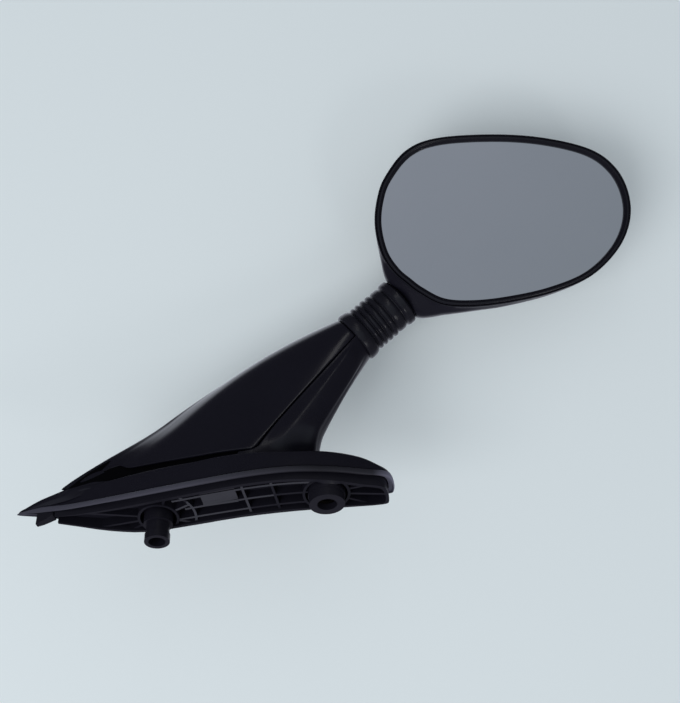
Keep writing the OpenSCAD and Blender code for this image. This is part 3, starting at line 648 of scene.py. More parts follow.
ARM_PLASTIC = finish_of(
    "arm plastic", (0.0068, 0.0066, 0.0118), (0.0095, 0.0092, 0.0158), (0.25, 0.33),
    grain=0.15, grain_size=1400,
)
# Near-black matt copy of the arm plastic: painted shade for the cover's seat, which lies in shadow
SEAT_PAINTED_SHADE = finish_of(
    "arm plastic, painted shade in the seat", (0.0018, 0.0018, 0.0025), (0.0025, 0.0025, 0.0035), (0.8, 0.9),
    specular=0.05,
)
COVER_GLOSS = finish_of(
    "cover gloss", (0.0066, 0.0065, 0.0112), (0.0088, 0.0086, 0.0145), (0.2, 0.24),
    grain=0.02, grain_size=500, coat=0.15, scuff=0.02,
)
FRAME_PLASTIC = finish_of(
    "frame plastic", (0.0085, 0.0082, 0.0135), (0.0125, 0.012, 0.019), (0.34, 0.45),
    grain=0.25, grain_size=1200,
)
# Much lighter copy of the frame plastic: painted light on the pad under the foot
PAD_PAINTED_LIGHT = finish_of(
    "frame plastic, painted light on the pad", (0.035, 0.035, 0.045), (0.06, 0.06, 0.075), (0.5, 0.65),
    grain=0.5, grain_size=700,
)
# Grey rubber, whose tone is multiplied by painted light and shade along the foot
GASKET_RUBBER_WITH_PAINTED_LIGHT = finish_of(
    "gasket rubber with painted light", (0.062, 0.061, 0.082), (0.082, 0.08, 0.105), (0.45, 0.6),
    grain=0.3, grain_size=1600,
)
BOOT_RUBBER = finish_of(
    "boot rubber", (0.0075, 0.0075, 0.0115), (0.011, 0.011, 0.0165), (0.22, 0.32),
    grain=0.3, grain_size=1500,
)
HEAD_PLASTIC = finish_of(
    "head plastic", (0.0068, 0.0066, 0.0118), (0.0095, 0.0092, 0.0158), (0.28, 0.36),
    grain=0.2, grain_size=1400,
)
BEZEL_PLASTIC = finish_of(
    "bezel plastic", (0.005, 0.005, 0.0082), (0.0078, 0.0077, 0.0125), (0.22, 0.3),
    grain=0.1, grain_size=1400,
)
# Brass darkened to near black: painted shade inside the stud holes
INSERT_BRASS_PAINTED_SHADE = finish_of(
    "insert brass, darkened as painted shade", (0.026, 0.022, 0.016), (0.045, 0.038, 0.028), (0.45, 0.6),
    grain=0.3, metal=1.0,
)
BRIGHT_STEEL = finish_of(
    "bright steel", (0.5, 0.5, 0.52), (0.62, 0.62, 0.64), (0.12, 0.22),
    grain=0.05, metal=1.0,
)
ZINC_STEEL = finish_of(
    "zinc steel", (0.48, 0.5, 0.52), (0.6, 0.62, 0.65), (0.28, 0.4),
    grain=0.15, metal=1.0,
)
SPRING_STEEL = finish_of(
    "spring steel", (0.3, 0.31, 0.33), (0.4, 0.41, 0.43), (0.25, 0.38),
    grain=0.1, metal=1.0,
)
SOCKET_ALLOY = finish_of(
    "socket alloy", (0.16, 0.165, 0.175), (0.22, 0.225, 0.24), (0.45, 0.6),
    grain=0.4, metal=1.0,
)
SEAT_NYLON = finish_of(
    "seat nylon", (0.62, 0.61, 0.56), (0.72, 0.71, 0.66), (0.35, 0.5),
    grain=0.1,
)
PAD_FOAM = finish_of(
    "pad foam", (0.04, 0.04, 0.045), (0.07, 0.07, 0.075), (0.8, 0.95),
    grain=0.8, grain_size=700,
)
CARRIER_PLASTIC = finish_of(
    "carrier plastic", (0.02, 0.02, 0.022), (0.03, 0.03, 0.033), (0.45, 0.6),
    grain=0.3,
)
MIRROR_GLASS = finish_of(
    "mirror glass", (0.86, 0.88, 0.9), (0.9, 0.91, 0.93), (0.03, 0.05),
    metal=1.0, scuff=0.02,
)

# Painted light and shade along the gasket: ends of the run in metres, then places on it and shares
BAND_ENDS = (-0.19, 0.042)
BAND_PAINTED_LIGHT = ((0.0, 1.0), (0.45, 0.9), (0.82, 0.22), (0.95, 0.36), (0.985, 2.0), (1.0, 3.2))
BAND_BLUE = 1.05


def paint_light_along_foot(material):
    """Painted light along the foot: lighter at the tip, painted shade at the main stud and a
    painted highlight on the end wall.
    """
    tree = material.node_tree
    shader = tree.nodes["Principled BSDF"]
    tone = shader.inputs["Base Color"].links[0].from_socket
    place = node(tree, "ShaderNodeTexCoord", (-1200, 500))
    split = node(tree, "ShaderNodeSeparateXYZ", (-1000, 500))
    share = node(tree, "ShaderNodeMapRange", (-800, 500), between(*BAND_ENDS))
    ramp = node(tree, "ShaderNodeValToRGB", (-600, 500))
    while len(ramp.color_ramp.elements) < len(BAND_PAINTED_LIGHT):
        ramp.color_ramp.elements.new(0.5)
    for element, (place_along, value) in zip(ramp.color_ramp.elements, BAND_PAINTED_LIGHT):
        element.position = place_along
        element.color = (value, value, value * BAND_BLUE, 1)
    faded = node(tree, "ShaderNodeMix", (-300, 400), data_type="RGBA", blend_type="MULTIPLY")
    set_inputs(faded, [("Factor", 1.0)])
    link = tree.links.new
    wire(place, "Object", split, "Vector")
    wire(split, "X", share, "Value")
    wire(share, "Result", ramp, "Fac")
    link(tone, faded.inputs["A"])
    wire(ramp, "Color", faded, "B")
    wire(faded, "Result", shader, "Base Color")


# Paints light and shade into the gasket's tone along the foot
paint_light_along_foot(GASKET_RUBBER_WITH_PAINTED_LIGHT)

NODE_FINISHES = {
    "arm_frame": ARM_PLASTIC,
    "arm_cover": COVER_GLOSS,
    "mount_frame": FRAME_PLASTIC,
    "base_gasket": GASKET_RUBBER_WITH_PAINTED_LIGHT,
    "main_stud_insert": INSERT_BRASS_PAINTED_SHADE,
    "second_stud_insert": INSERT_BRASS_PAINTED_SHADE,
    "ball_stud": BRIGHT_STEEL,
    "stud_washer": ZINC_STEEL,
    "stud_nut": ZINC_STEEL,
    "neck_boot": BOOT_RUBBER,
    "ball_seat_lower": SEAT_NYLON,
    "ball_seat_upper": SEAT_NYLON,
    "ball_socket": SOCKET_ALLOY,
    "retaining_ring": ZINC_STEEL,
    "pressure_cup": SEAT_NYLON,
    "disc_springs": SPRING_STEEL,
    "socket_screw": ZINC_STEEL,
    "head_housing": HEAD_PLASTIC,
    "head_bezel": BEZEL_PLASTIC,
    "mirror_glass": MIRROR_GLASS,
    "glass_pad": PAD_FOAM,
    "glass_carrier": CARRIER_PLASTIC,
}
for name, finish in NODE_FINISHES.items():
    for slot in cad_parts[name].material_slots:
        slot.material = finish


# Arm: wall and deck of the foot, the seat for the cover, and the neck's spigot

# Rows of share, rise and inset, from the gasket up and from the inside of the arm down
WALL_OUTSIDE = np.array([
    [0, 0, 1], [0.02, 0.4, 1], [0.05, 0.75, 1], [0.1, 0.94, 1],
    [0.2, 1, 1], [0.45, 1, 0.8], [0.7, 1, 0.4], [0.88, 1, 0.2], [1, 1, 0],
])
WALL_INSIDE = np.array([[0.8, 1, 2.8], [0.45, 1, 1.2], [0.12, 1, 1], [0.03, 0.6, 1], [0, 0, 1]])
INNER_LEVELS = [0.93, 0.85, 0.7, 0.5, 0.3, 0.15, 0.06]
# Rounded lip of the seat: distance from the seam in places, and share of the seat's depth
LIP_OFFSET = np.array([0, 0.02, 0.05, 0.066, 0.074, 0.078, 0.085])
LIP_SINK = np.array([0, 0.01, 0.05, 0.16, 0.5, 0.93, 1])
LIP_LEVELS = np.array([0.004, 0.005, 0.006, 0.007, 0.008, 0.009])
LIP_SHARES = np.array([0, 0.05, 0.2, 0.55, 0.93, 1])
# Levels of the seat's rings and the steps between them, and the steps round the seat and the rest
SEAT_LEVELS = [0.012, 0.026, 0.14, 1.0]
SEAT_LEVEL_STEPS = [3, 15, 68]
SEAT_STEPS = 101
REST_STEPS = 150
# Faces sunk deeper than this share of the seat's depth get the painted shade
DEEP_SINK = 0.9
# Soft edge along the strut: its height, ends, the place and bends of its line, and its softness
CREASE_HEIGHT = 2.0
CREASE_ENDS = (7.32, 11.2)
CREASE_LINE = 7.57
CREASE_DRIFT = 0.75
CREASE_BEND = 0.5
CREASE_SOFTNESS = 0.012
CREASE_FOOT_RUN = (0.02, 0.16)
CREASE_TOP = 0.99
CREASE_TOP_FADE = 0.1


def arm_places(level):
    """Places round the arm at a level, and how deep each lies in the cover's seat, from 0 to 1."""
    back, front = COVER_BACK, cover_front(level)
    seat = mix(back + LIP_OFFSET[-1], front - LIP_OFFSET[-1], np.linspace(0, 1, SEAT_STEPS))
    rest = mix(front, back + PLACES_ROUND, np.linspace(0, 1, REST_STEPS))
    places = np.concatenate([back + LIP_OFFSET, seat[1:-1], front - LIP_OFFSET[::-1], rest[1:-1]])
    sinks = np.concatenate([
        LIP_SINK, np.ones(SEAT_STEPS - 2), LIP_SINK[::-1], np.zeros(REST_STEPS - 2),
    ])
    return places, sinks


def crease(level, s):
    """Height of the soft edge along the strut: two slopes that meet on a line, rounded there."""
    start, end = CREASE_ENDS
    line = CREASE_LINE + CREASE_DRIFT * (1 - level) - CREASE_BEND * (1 - level) ** 4
    rise = (s - start) / (line - start)
    fall = (end - s) / (end - line)
    meet = (rise + fall - np.sqrt((rise - fall) ** 2 + CREASE_SOFTNESS)) / 2
    foot_fade = ease_over(level, CREASE_FOOT_RUN)
    top_fade = ease((CREASE_TOP - level) / CREASE_TOP_FADE)
    return CREASE_HEIGHT * np.clip(meet, 0, 1) * foot_fade * top_fade


def arm_ring(level, seat_depth, inset):
    """Ring of the arm's skin at a level, sunk where the cover sits, or raised along the crease."""
    s, sink = arm_places(level)
    place = ring_level(level, s)
    raised = crease(place, s) if inset == 0 else 0
    return arm_point(place, s, inset + sink * seat_depth - raised)


def wall_ring(share, rise, inset, drop):
    """Ring of the foot's wall or deck."""
    return wall_point(arm_places(0.0)[0], share, rise, inset, drop)


def neck_ring(height, radius):
    """Round ring on the neck's axis whose points stand at the arm's places."""
    s = arm_places(1.0)[0]
    turn = unit(closed_curve(FOOT_TABLE, s)[:, 4:6])
    out = turn[:, :1] * NECK_ACROSS + turn[:, 1:] * NECK_DEPTH
    return NECK_TOP + height * NECK_AXIS + radius * out


def paint_seat_shade(made, first_ring, last_ring):
    """Gives the hidden seat painted shade, a near-black matt material, on the faces between two
    rings at its full depth.
    """
    sinks = arm_places(0.0)[1]
    deep = np.minimum(sinks, np.roll(sinks, -1)) > DEEP_SINK
    index = np.zeros((len(made.data.polygons) // len(sinks), len(sinks)), np.int32)
    index[first_ring:last_ring, deep] = 1
    made.data.materials.append(SEAT_PAINTED_SHADE)
    made.data.polygons.foreach_set("material_index", index.ravel())


def arm_shell():
    """Hollow arm as rings down its inside, up the foot's wall and deck and over the neck's cap."""
    inner = COVER_SEAT_DEPTH + SHELL_WALL
    under_cap = SPIGOT_HEIGHT - CAP_THICKNESS
    hole_r = SHANK_R + SEAT_GAP
    outside = open_curve(WALL_OUTSIDE, np.linspace(0, 1, 57))[:-1]
    rings = [neck_ring(under_cap, ARM_TOP_R - inner)]
    rings += [arm_ring(level, 0, inner) for level in INNER_LEVELS]
    rings += [wall_ring(a, b, SHELL_WALL + c, SHELL_WALL) for a, b, c in WALL_INSIDE]
    rings += [wall_ring(max(a, 0), min(b, 1), c, 0) for a, b, c in outside]
    rings += [arm_ring(level, 0, 0) for level in (0.0, 0.002)]
    rings += [
        arm_ring(level, COVER_SEAT_DEPTH * share, 0) for level, share in zip(LIP_LEVELS, LIP_SHARES)
    ]
    seat_start = len(rings)
    seat_levels = spread(SEAT_LEVELS, SEAT_LEVEL_STEPS)
    rings += [arm_ring(level, COVER_SEAT_DEPTH, 0) for level in seat_levels]
    seat_end = len(rings)
    rings += [
        neck_ring(0, SPIGOT_R),
        neck_ring(SPIGOT_HEIGHT - SPIGOT_EDGE, SPIGOT_R),
        neck_ring(SPIGOT_HEIGHT, SPIGOT_R - SPIGOT_EDGE),
        neck_ring(SPIGOT_HEIGHT, hole_r),
        neck_ring(under_cap, hole_r),
    ]
    made = hollow_ring("arm_shell", np.array(rings), ARM_PLASTIC)
    paint_seat_shade(made, seat_start, seat_end)
    return made


# Cover

# Rounded edge of the cover: distance from the edge in places and in levels, and depth under it
EDGE_PLACES = np.array([0, 0.004, 0.014, 0.03, 0.055])
EDGE_LEVELS = np.array([0, 0.0008, 0.003, 0.0065, 0.012])
EDGE_DEPTHS = np.array([1.1, 0.6, 0.25, 0.07, 0.0])
COVER_TOP = 0.999
COVER_STEPS = 131
COVER_LEVEL_STEPS = [12, 74]
EDGE_TURN = 0.02
# Beak: how far the low end is drawn out, up to which level, and round which place
BEAK_REACH = np.array([-4.6, 0.0, -2.0])
BEAK_TOP = 0.13
BEAK_FADE = 0.11
BEAK_PLACE = -0.1
BEAK_HALF = 1.7


def arm_cover():
    """Shell of even thickness that follows the arm's skin between the seams.

    Its edge is rounded all round, and its low end is drawn out over the tip as a beak.
    """
    lowest = COVER_LEVEL + COVER_LIFT
    across = np.linspace(0, 1, COVER_STEPS)[1:-1]
    levels = np.concatenate([
        lowest + EDGE_LEVELS,
        spread([lowest + EDGE_TURN, LOW_SEAM_BLEND, COVER_TOP - EDGE_TURN], COVER_LEVEL_STEPS),
        COVER_TOP - EDGE_LEVELS[::-1],
    ])
    flat_levels = np.zeros(len(levels) - 2 * len(EDGE_DEPTHS))
    level_depths = np.concatenate([EDGE_DEPTHS, flat_levels, EDGE_DEPTHS[::-1]])
    place_depths = np.concatenate([EDGE_DEPTHS, np.zeros(len(across)), EDGE_DEPTHS[::-1]])
    top, under = [], []
    for level, level_depth in zip(levels, level_depths):
        back, front = COVER_BACK + COVER_EDGE, cover_front(level) - COVER_EDGE
        middle = mix(back + EDGE_PLACES[-1], front - EDGE_PLACES[-1], across)
        s = np.concatenate([back + EDGE_PLACES, middle, front - EDGE_PLACES[::-1]])
        depth = np.maximum(place_depths, level_depth)
        place = ring_level(level, s) + slot_rise(level, s)
        low = ease((BEAK_TOP - place) / BEAK_FADE)
        at_tip = ease(1 - np.abs(s - BEAK_PLACE) / BEAK_HALF)
        beak = BEAK_REACH * (low * at_tip)[:, None]
        top.append(arm_point(place, s, depth) + beak)
        under.append(arm_point(place, s, COVER_THICKNESS - depth) + beak)
    return pillow("arm_cover_shell", np.array(top), np.array(under), COVER_GLOSS)


# Gasket

# Rows of inset and share of the height, from the underside and up over the outside
GASKET_SECTION = np.array([
    [3.6, 0.35], [1.15, 0.35], [1.0, 0.1], [0.8, 0.0], [0.45, 0.04], [0.12, 0.24], [0.0, 0.5],
    [0.06, 0.68], [0.3, 0.86], [0.75, 0.97], [1.3, 1.0], [3.6, 1.0],
])
GASKET_STEPS = 14
GASKET_INSET = 0.12


def gasket_bead():
    """Band under the arm whose rounded outer bead stands below its inner part."""
    s = np.arange(0, PLACES_ROUND, 1 / GASKET_STEPS)
    rings = []
    for inset, share in GASKET_SECTION:
        plan = foot_point(s, inset + GASKET_INSET)
        rings.append(np.column_stack([plan, gasket_top(plan[:, 0]) * share]))
    return hollow_ring("gasket_bead", np.array(rings), GASKET_RUBBER_WITH_PAINTED_LIGHT, smooth_angle=50)


# Mounting frame

SKIRT_DEPTH = 5.5
SKIRT_TILT = 0.15
SKIRT_MIDDLE_Y = -4
TONGUE_DEPTH = 8.0
TONGUE_X = (-178.0, -168.5)
TONGUE_SLANT = 6
TONGUE_CURVE = 1.3
# X and radius round each stud where the edges stay level
STUD_CLEARANCE = ((0.0, 12.2), (-106.0, 9.8))
# Low and high corner of the box round the pad that gets the painted light
PAD_BOX = np.array([[-76.0, -17.0, -6.5], [-54.0, -4.1, -1.5]])
FLAT_ANGLE = 0.5
FRAME_EDGE = 0.25
FRAME_EDGE_ANGLE = 40


def joined_copy(name):
    """Points in millimetres and triangles of a CAD solid, joined where its points are equal."""
    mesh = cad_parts[name].data
    loose = np.empty(3 * len(mesh.vertices), np.float32)
    mesh.vertices.foreach_get("co", loose)
    corners = np.empty(len(mesh.loops), np.int32)
    mesh.loops.foreach_get("vertex_index", corners)
    points, number = np.unique(np.round(loose.reshape(-1, 3) / MM, 3), axis=0, return_inverse=True)
    faces = number.ravel()[corners].reshape(-1, 3)
    whole = (faces != np.roll(faces, -1, axis=1)).all(axis=1)
    return points, faces[whole]


def frame_moulding():
    """The frame's solid with small round edges.

    Its low edges tilt by a share of Y, away from the studs, and the tongue's end is slanted.
    """
    points, faces = joined_copy("mount_frame")
    x, y, z = points.T
    tongue = (z < -TONGUE_DEPTH + 0.1) & (x < TONGUE_X[1] + 0.5)
    slant = np.clip((x - TONGUE_X[0]) / (TONGUE_X[1] - TONGUE_X[0]), 0, 1) ** TONGUE_CURVE
    near_stud = np.zeros(len(points), bool)
    for stud_x, radius in STUD_CLEARANCE:
        near_stud |= np.hypot(x - stud_x, y) < radius
    low = np.clip(-z / SKIRT_DEPTH, 0, 1)
    tilted = z - SKIRT_TILT * (y - SKIRT_MIDDLE_Y) * low
    points[:, 2] = np.where(tongue, z + TONGUE_SLANT * slant, np.where(near_stud, z, tilted))
    made = piece("frame_moulding", points, [faces], FRAME_PLASTIC, smooth_angle=FRAME_EDGE_ANGLE)
    shape = bmesh.new()
    shape.from_mesh(made.data)
    bmesh.ops.dissolve_limit(
        shape, angle_limit=math.radians(FLAT_ANGLE), verts=shape.verts, edges=shape.edges,
    )
    shape.to_mesh(made.data)
    shape.free()
    rounding = made.modifiers.new("round edges", "BEVEL")
    rounding.width = FRAME_EDGE * MM
    rounding.segments = 2
    rounding.limit_method = "ANGLE"
    rounding.angle_limit = math.radians(FRAME_EDGE_ANGLE)
    middles = np.empty(3 * len(made.data.polygons), np.float32)
    made.data.polygons.foreach_get("center", middles)
    middles = middles.reshape(-1, 3) / MM
    # Faces of the pad, which get the painted light
    ground = ((middles > PAD_BOX[0]) & (middles < PAD_BOX[1])).all(axis=1)
    made.data.materials.append(PAD_PAINTED_LIGHT)
    made.data.polygons.foreach_set("material_index", ground.astype(np.int32))
    return made


# Rubber boot, in three lengths that meet in the valleys between ribs

# Rows of height over the arm's top and radius
BOOT_OUTSIDE = np.array([
    [0.0, 16.9], [0.3, 17.5], [1.1, 17.95], [2.8, 18.0], [4.8, 17.8], [6.6, 17.3], [7.8, 16.7],
    [8.5, 15.9], [9.1, 15.3],
    [9.5, 15.5], [9.9, 16.2], [10.5, 16.6], [11.1, 16.7], [11.7, 16.6], [12.3, 16.2],
    [12.7, 15.5], [13.1, 15.3],
    [13.5, 15.5], [13.9, 16.2], [14.4, 16.6], [15.0, 16.7], [15.6, 16.6], [16.3, 16.2],
    [16.8, 15.5], [17.2, 15.3],
    [17.7, 15.5], [18.1, 16.2], [18.8, 16.6], [19.5, 16.7], [20.2, 16.6], [20.9, 16.2],
    [21.4, 15.5], [21.8, 15.3],
    [22.3, 15.5], [22.7, 16.2], [23.4, 16.6], [24.1, 16.7], [24.8, 16.6], [25.5, 16.2],
    [26.0, 15.5], [26.4, 15.3],
    [26.8, 15.5], [27.4, 16.0], [28.4, 16.3], [30.0, 16.4], [31.8, 16.3], [32.8, 16.0],
    [33.5, 15.5], [34.0, 15.3],
    [34.5, 15.5], [35.0, 16.2], [35.6, 16.7], [36.4, 17.0], [38.0, 17.0], [39.6, 17.0],
    [40.1, 16.8], [40.5, 16.3], [40.8, 15.9], [41.2, 15.6],
])
BOOT_STEPS = 128
BOOT_END_SLOPE = 0.5
# Each length's name, ends, radius inside and the bodies at its two ends. The middle one is
# thinner, so that the socket's mouth has room to swing inside it.
BOOT_LENGTHS = (
    ("boot_collar", 0.0, 9.1, 14.1, ("arm", "lower_seat")),
    ("boot_ribs", 9.1, 21.8, 14.9, ("lower_seat", "upper_seat")),
    ("boot_barrel", 21.8, 41.2, 14.1, ("upper_seat", "mirror_head")),
)


def boot_length_of(name, low, high, inner_r):
    """Length of the boot, turned round the neck's axis from a closed profile.

    The profile is the outside between two heights, with a plain inside. The lowest length is
    wider inside at its foot, where it sits on the spigot.
    """
    rows = BOOT_OUTSIDE[(BOOT_OUTSIDE[:, 0] >= low) & (BOOT_OUTSIDE[:, 0] <= high)]
    fine = open_curve(rows, np.linspace(0, 1, 3 * len(rows)))
    foot_r = SPIGOT_R + SEAT_GAP if low == 0 else inner_r
    mouth_r = mix(inner_r, BOOT_VALLEY_R, 0.5)
    inside = np.array([[high, mouth_r], [high - BOOT_END_SLOPE, inner_r], [low, foot_r]])
    profile = np.vstack([fine, inside])
    around = np.linspace(0, TURN, BOOT_STEPS, endpoint=False)
    grid = neck_point(profile[:, :1], profile[:, 1:], around[None, :])
    return hollow_ring(name, grid, BOOT_RUBBER, smooth_angle=60)


# Mirror head

# Rows of inset and height of the housing's front lip, from the inside over to the outside
HOUSING_FRONT = np.array([
    [0.9, -1.2], [0.9, -0.5], [0.84, -0.2], [0.66, -0.03], [0.45, 0.0], [0.24, -0.03],
    [0.07, -0.2], [0.0, -0.55], [0.0, -1.2],
])
# Rows of inset and height round the bezel's section
BEZEL_SECTION = np.array([
    [0.0, -4.1], [0.0, -2.0], [0.0, 0.2], [0.06, 0.65], [0.28, 1.1], [0.65, 1.34],
    [1.1, 1.4], [1.4, 1.4], [1.62, 1.34], [1.85, 1.14], [3.05, -0.04], [3.3, -0.32],
    [3.4, -0.6], [3.4, -1.7], [3.2, -1.9], [1.6, -1.9], [1.6, -4.1],
])
CHIN_START = BOOT_LENGTH + 1
CHIN_SEAT_R = BOOT_RIB_R + 2 * SEAT_GAP
CHIN_SEAT_EDGE = 0.5
CHIN_DEPTH = 40
HEAD_PLACES = np.arange(0, len(HEAD_ROWS), 1 / 12)
HEAD_RINGS_OUT = 70
HEAD_RINGS_IN = 16
# The outside is a little smaller than the CAD's, and three small rings close its back
HEAD_MARGIN = 0.04
HEAD_BACK_SIZES = (0.15, 0.1, 0.05)
# Rows of inset and height round the glass's ground edge
GLASS_BACK = -LIP_DEPTH - GLASS_THICKNESS
GLASS_EDGE = np.array([
    [0.3, GLASS_BACK], [0.0, GLASS_BACK + 0.3], [0.0, -LIP_DEPTH - 0.35], [0.35, -LIP_DEPTH],
])


def head_ring(z, size, chin, inset):
    """Head's outline at a height in the head's frame, placed in the part's frame."""
    plan = head_point(HEAD_PLACES, size, chin, inset)
    return out_of_head(np.column_stack([plan, np.full(len(plan), z)]))


def chin_seat(points):
    """Presses the chin flat under the boot: points in the seat's radius rise along the neck."""
    away = points - NECK_TOP
    height = away @ NECK_AXIS
    radius = np.linalg.norm(away - height[..., None] * NECK_AXIS, axis=-1)
    share = 1 - ease((radius - CHIN_SEAT_R) / CHIN_SEAT_EDGE)
    lift = np.clip(CHIN_START - height, 0, CHIN_DEPTH) * share
    return points + lift[..., None] * NECK_AXIS


def head_housing():
    """Deep shell behind the mirror, with a rounded front lip.

    It is one outline at growing depth and falling size, pushed out to the chin on its way.
    """
    outer = open_curve(HEAD_PROFILE[1:], np.linspace(0, 1, HEAD_RINGS_OUT))
    inner = open_curve(HEAD_PROFILE[3:], np.linspace(1, 0, HEAD_RINGS_IN))
    wall = HOUSING_WALL + 2 * SEAT_GAP
    ledge = CARRIER_BACK + SEAT_GAP
    rings = [head_ring(-d + HOUSING_WALL, size, chin, wall) for d, size, chin in inner]
    rings += [
        head_ring(-ledge, 1, 0.5, HOUSING_WALL + HOUSING_LEDGE),
        head_ring(-ledge, 1, 0, HOUSING_LIP),
    ]
    rings += [head_ring(z, 1, 0, inset) for inset, z in HOUSING_FRONT]
    rings += [head_ring(-d, size, chin, HEAD_MARGIN) for d, size, chin in outer]
    rings += [head_ring(-HEAD_DEPTH, size, 0, 0) for size in HEAD_BACK_SIZES]
    return closed_shell("head_shell", chin_seat(np.array(rings)), HEAD_PLASTIC)


def head_bezel():
    """Ring of one section that runs round the head's outline and holds the glass."""
    rings = [head_ring(z, 1, 0, BEZEL_INSET + inset) for inset, z in BEZEL_SECTION]
    return hollow_ring("bezel_ring", np.array(rings), BEZEL_PLASTIC, smooth_angle=40)


def glass_plate():
    """Flat plate with a narrow ground edge."""
    rings = [head_ring(z, 1, 0, GLASS_INSET + inset) for inset, z in GLASS_EDGE]
    return closed_shell("mirror_plate", np.array(rings), MIRROR_GLASS, smooth_angle=20)


def dress(made, body, slot, *nodes):
    """Parents a piece to the empty of the body it rides on and hides the solids it stands for. Its
    slot is not used.
    """
    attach(made, body)
    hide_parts(*nodes)


dress(arm_shell(), "arm", "arm_plastic", "arm_frame")
dress(arm_cover(), "arm", "cover_gloss", "arm_cover")
dress(gasket_bead(), "arm", "gasket_rubber", "base_gasket")
dress(frame_moulding(), "arm", "frame_plastic", "mount_frame")
dress(head_housing(), "mirror_head", "head_plastic", "head_housing")
dress(head_bezel(), "mirror_head", "bezel_plastic", "head_bezel")
dress(glass_plate(), "mirror_head", "mirror_glass", "mirror_glass")

for name, low, high, inner_r, (below, above) in BOOT_LENGTHS:
    made = boot_length_of(name, low, high, inner_r)
    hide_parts("neck_boot")
    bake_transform(made)


# Stage, lights and camera

SHEET_COLOUR = (0.74, 0.80, 0.82, 1)
GLOW_COLOUR = (0.84, 0.94, 1.0, 1)
LIGHT_AIM = np.array([20.0, -30.0, 70.0])
# Colours of the world as each kind of ray meets it
FAR_COLOUR = (0.60, 0.68, 0.73)
SOFT_COLOUR = (0.34, 0.36, 0.38)
WINDOW_COLOUR = (0.72, 0.76, 0.86)
BEHIND_COLOUR = (0.58, 0.61, 0.70)
WALL_LEFT, WALL_RIGHT = (0.262, 0.283, 0.328), (0.19, 0.215, 0.245)
DIM_LOW, DIM_HIGH = (0.13, 0.128, 0.165), (0.05, 0.049, 0.068)
# How far a ray has to point along a direction, from where a part of the world starts to full
DIM_REACH = (-0.9, 0.2)
WALL_REACH = (-0.4, 0.4)
CAMERA_REACH = (0.78, 0.9)
BEHIND_REACH = (-1.0, -0.45)
WINDOW_REACH = (0.86, 0.98)

def look_along(place, right, up, back):
    """World matrix of an object at a place in millimetres with the three directions as its axes."""
    m = Matrix.Identity(4)
    for column, axis in enumerate((right, up, back)):
        for row in range(3):
            m[row][column] = axis[row]
    for row in range(3):
        m[row][3] = place[row] * MM
    return m


def plain_stage():
    """Pale sheet behind the object, square to the line of sight.

    It glows a little, and it is clear from its back, so that it hides nothing from there.
    """
    middle = CAMERA_PLACE - TOWARDS_CAMERA * STAGE_DISTANCE
    corners = [
        middle + (PICTURE_RIGHT * x + PICTURE_UP * y) * STAGE_HALF
        for x, y in ((-1, -1), (1, -1), (1, 1), (-1, 1))
    ]
    mesh = bpy.data.meshes.new("stage_sheet")
    mesh.from_pydata([tuple(c * MM) for c in corners], [], [(0, 1, 2, 3)])
    material = bpy.data.materials.new("stage sheet")
    material.use_nodes = True
    tree = material.node_tree
    shader = tree.nodes["Principled BSDF"]
    set_inputs(shader, [
        ("Base Color", SHEET_COLOUR), ("Roughness", 0.9), ("Specular IOR Level", 0.1),
        ("Emission Color", GLOW_COLOUR), ("Emission Strength", SHEET_GLOW),
    ])
    clear = node(tree, "ShaderNodeBsdfTransparent", (0, -200))
    side = node(tree, "ShaderNodeNewGeometry", (0, 200))
    choose = node(tree, "ShaderNodeMixShader", (300, 0))
    wire(side, "Backfacing", choose, 0)
    wire(shader, 0, choose, 1)
    wire(clear, 0, choose, 2)
    wire(choose, 0, tree.nodes["Material Output"], "Surface")
    mesh.materials.append(material)
    sheet = bpy.data.objects.new("stage_sheet", mesh)
    bpy.context.scene.collection.objects.link(sheet)
    sheet.visible_glossy = False


def soft_light(name, across, up, back, size, power, shine=True):
    """Flat lamp aimed at the object's middle, placed by the picture's directions in millimetres.

    Where it doesn't shine, it lights the object but has no reflection in it.
    """
    place = LIGHT_AIM + PICTURE_RIGHT * across + PICTURE_UP * up + TOWARDS_CAMERA * back
    away = unit(place - LIGHT_AIM)
    side = unit(np.cross(PICTURE_UP, away))
    light = bpy.data.lights.new(name, "AREA")
    light.shape = "RECTANGLE"
    light.size, light.size_y = size[0] * MM, size[1] * MM
    light.energy = power
    lamp = bpy.data.objects.new(name, light)
    lamp.visible_glossy = shine
    lamp.matrix_world = look_along(place, side, np.cross(away, side), away)
    bpy.context.scene.collection.objects.link(lamp)


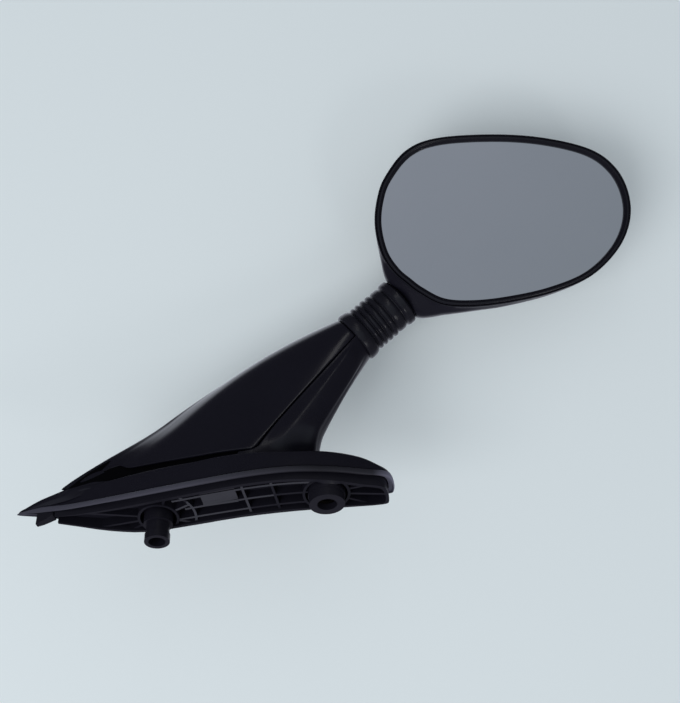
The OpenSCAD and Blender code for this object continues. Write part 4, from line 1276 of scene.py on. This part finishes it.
def room_light():
    """World light of a studio.

    Reflections see it pale behind the object with a bright window there, dim in front, and a
    grey wall round the camera for the mirror. Soft light and the view past the sheet are even.
    """
    world = bpy.data.worlds.new("studio")
    bpy.context.scene.world = world
    world.use_nodes = True
    tree = world.node_tree
    background = tree.nodes["Background"]
    link = tree.links.new
    place = node(tree, "ShaderNodeTexCoord", (-1300, 0))

    def share_of(direction, reach, y):
        """Soft step of how far a ray points along a direction."""
        along = node(
            tree, "ShaderNodeVectorMath", (-1100, y), [(1, direction)], operation="DOT_PRODUCT",
        )
        step = node(
            tree, "ShaderNodeMapRange", (-900, y), between(*reach), interpolation_type="SMOOTHSTEP",
        )
        wire(place, "Generated", along, 0)
        wire(along, "Value", step, "Value")
        return step.outputs["Result"]

    def blend_of(share, first, second, y):
        """Mix of two colours, each a plain one or another node's."""
        made = node(tree, "ShaderNodeMix", (-600, y), data_type="RGBA")
        for socket, value in ((made.inputs["A"], first), (made.inputs["B"], second)):
            if isinstance(value, tuple):
                socket.default_value = (*value, 1)
            else:
                link(value, socket)
        link(share, made.inputs["Factor"])
        return made.outputs["Result"]

    left = unit(PICTURE_UP * 0.6 - PICTURE_RIGHT * 0.8)
    window = unit(PICTURE_UP * 0.4 - PICTURE_RIGHT * 0.25 - TOWARDS_CAMERA * 0.88)
    dim = blend_of(share_of(PICTURE_UP, DIM_REACH, 300), DIM_LOW, DIM_HIGH, 300)
    wall = blend_of(share_of(left, WALL_REACH, 0), WALL_RIGHT, WALL_LEFT, 0)
    front = blend_of(share_of(TOWARDS_CAMERA, CAMERA_REACH, -300), dim, wall, -300)
    around = blend_of(share_of(TOWARDS_CAMERA, BEHIND_REACH, -600), BEHIND_COLOUR, front, -600)
    bright = blend_of(share_of(window, WINDOW_REACH, -900), around, WINDOW_COLOUR, -900)
    seen = node(tree, "ShaderNodeLightPath", (-900, -1200))
    soft = blend_of(seen.outputs["Is Diffuse Ray"], bright, SOFT_COLOUR, -1200)
    shown = blend_of(seen.outputs["Is Camera Ray"], soft, FAR_COLOUR, -1500)
    link(shown, background.inputs["Color"])


def photo_camera():
    """Camera at the photo's place and angle."""
    camera = bpy.data.objects.new("camera", bpy.data.cameras.new("camera"))
    camera.data.lens = LENS
    camera.data.sensor_width = SENSOR
    camera.data.clip_start = 0.01
    camera.matrix_world = look_along(CAMERA_PLACE, PICTURE_RIGHT, PICTURE_UP, TOWARDS_CAMERA)
    bpy.context.scene.collection.objects.link(camera)
    bpy.context.scene.camera = camera


plain_stage()
room_light()
soft_light("key", across=-1200, up=-900, back=1800, size=(1500, 1500), power=26.0, shine=False)
soft_light("edge strip", across=20, up=700, back=670, size=(110, 520), power=0.22)
soft_light("rim strip", across=560, up=-620, back=700, size=(220, 220), power=0.7)
photo_camera()
bpy.context.scene.view_settings.view_transform = "Standard"
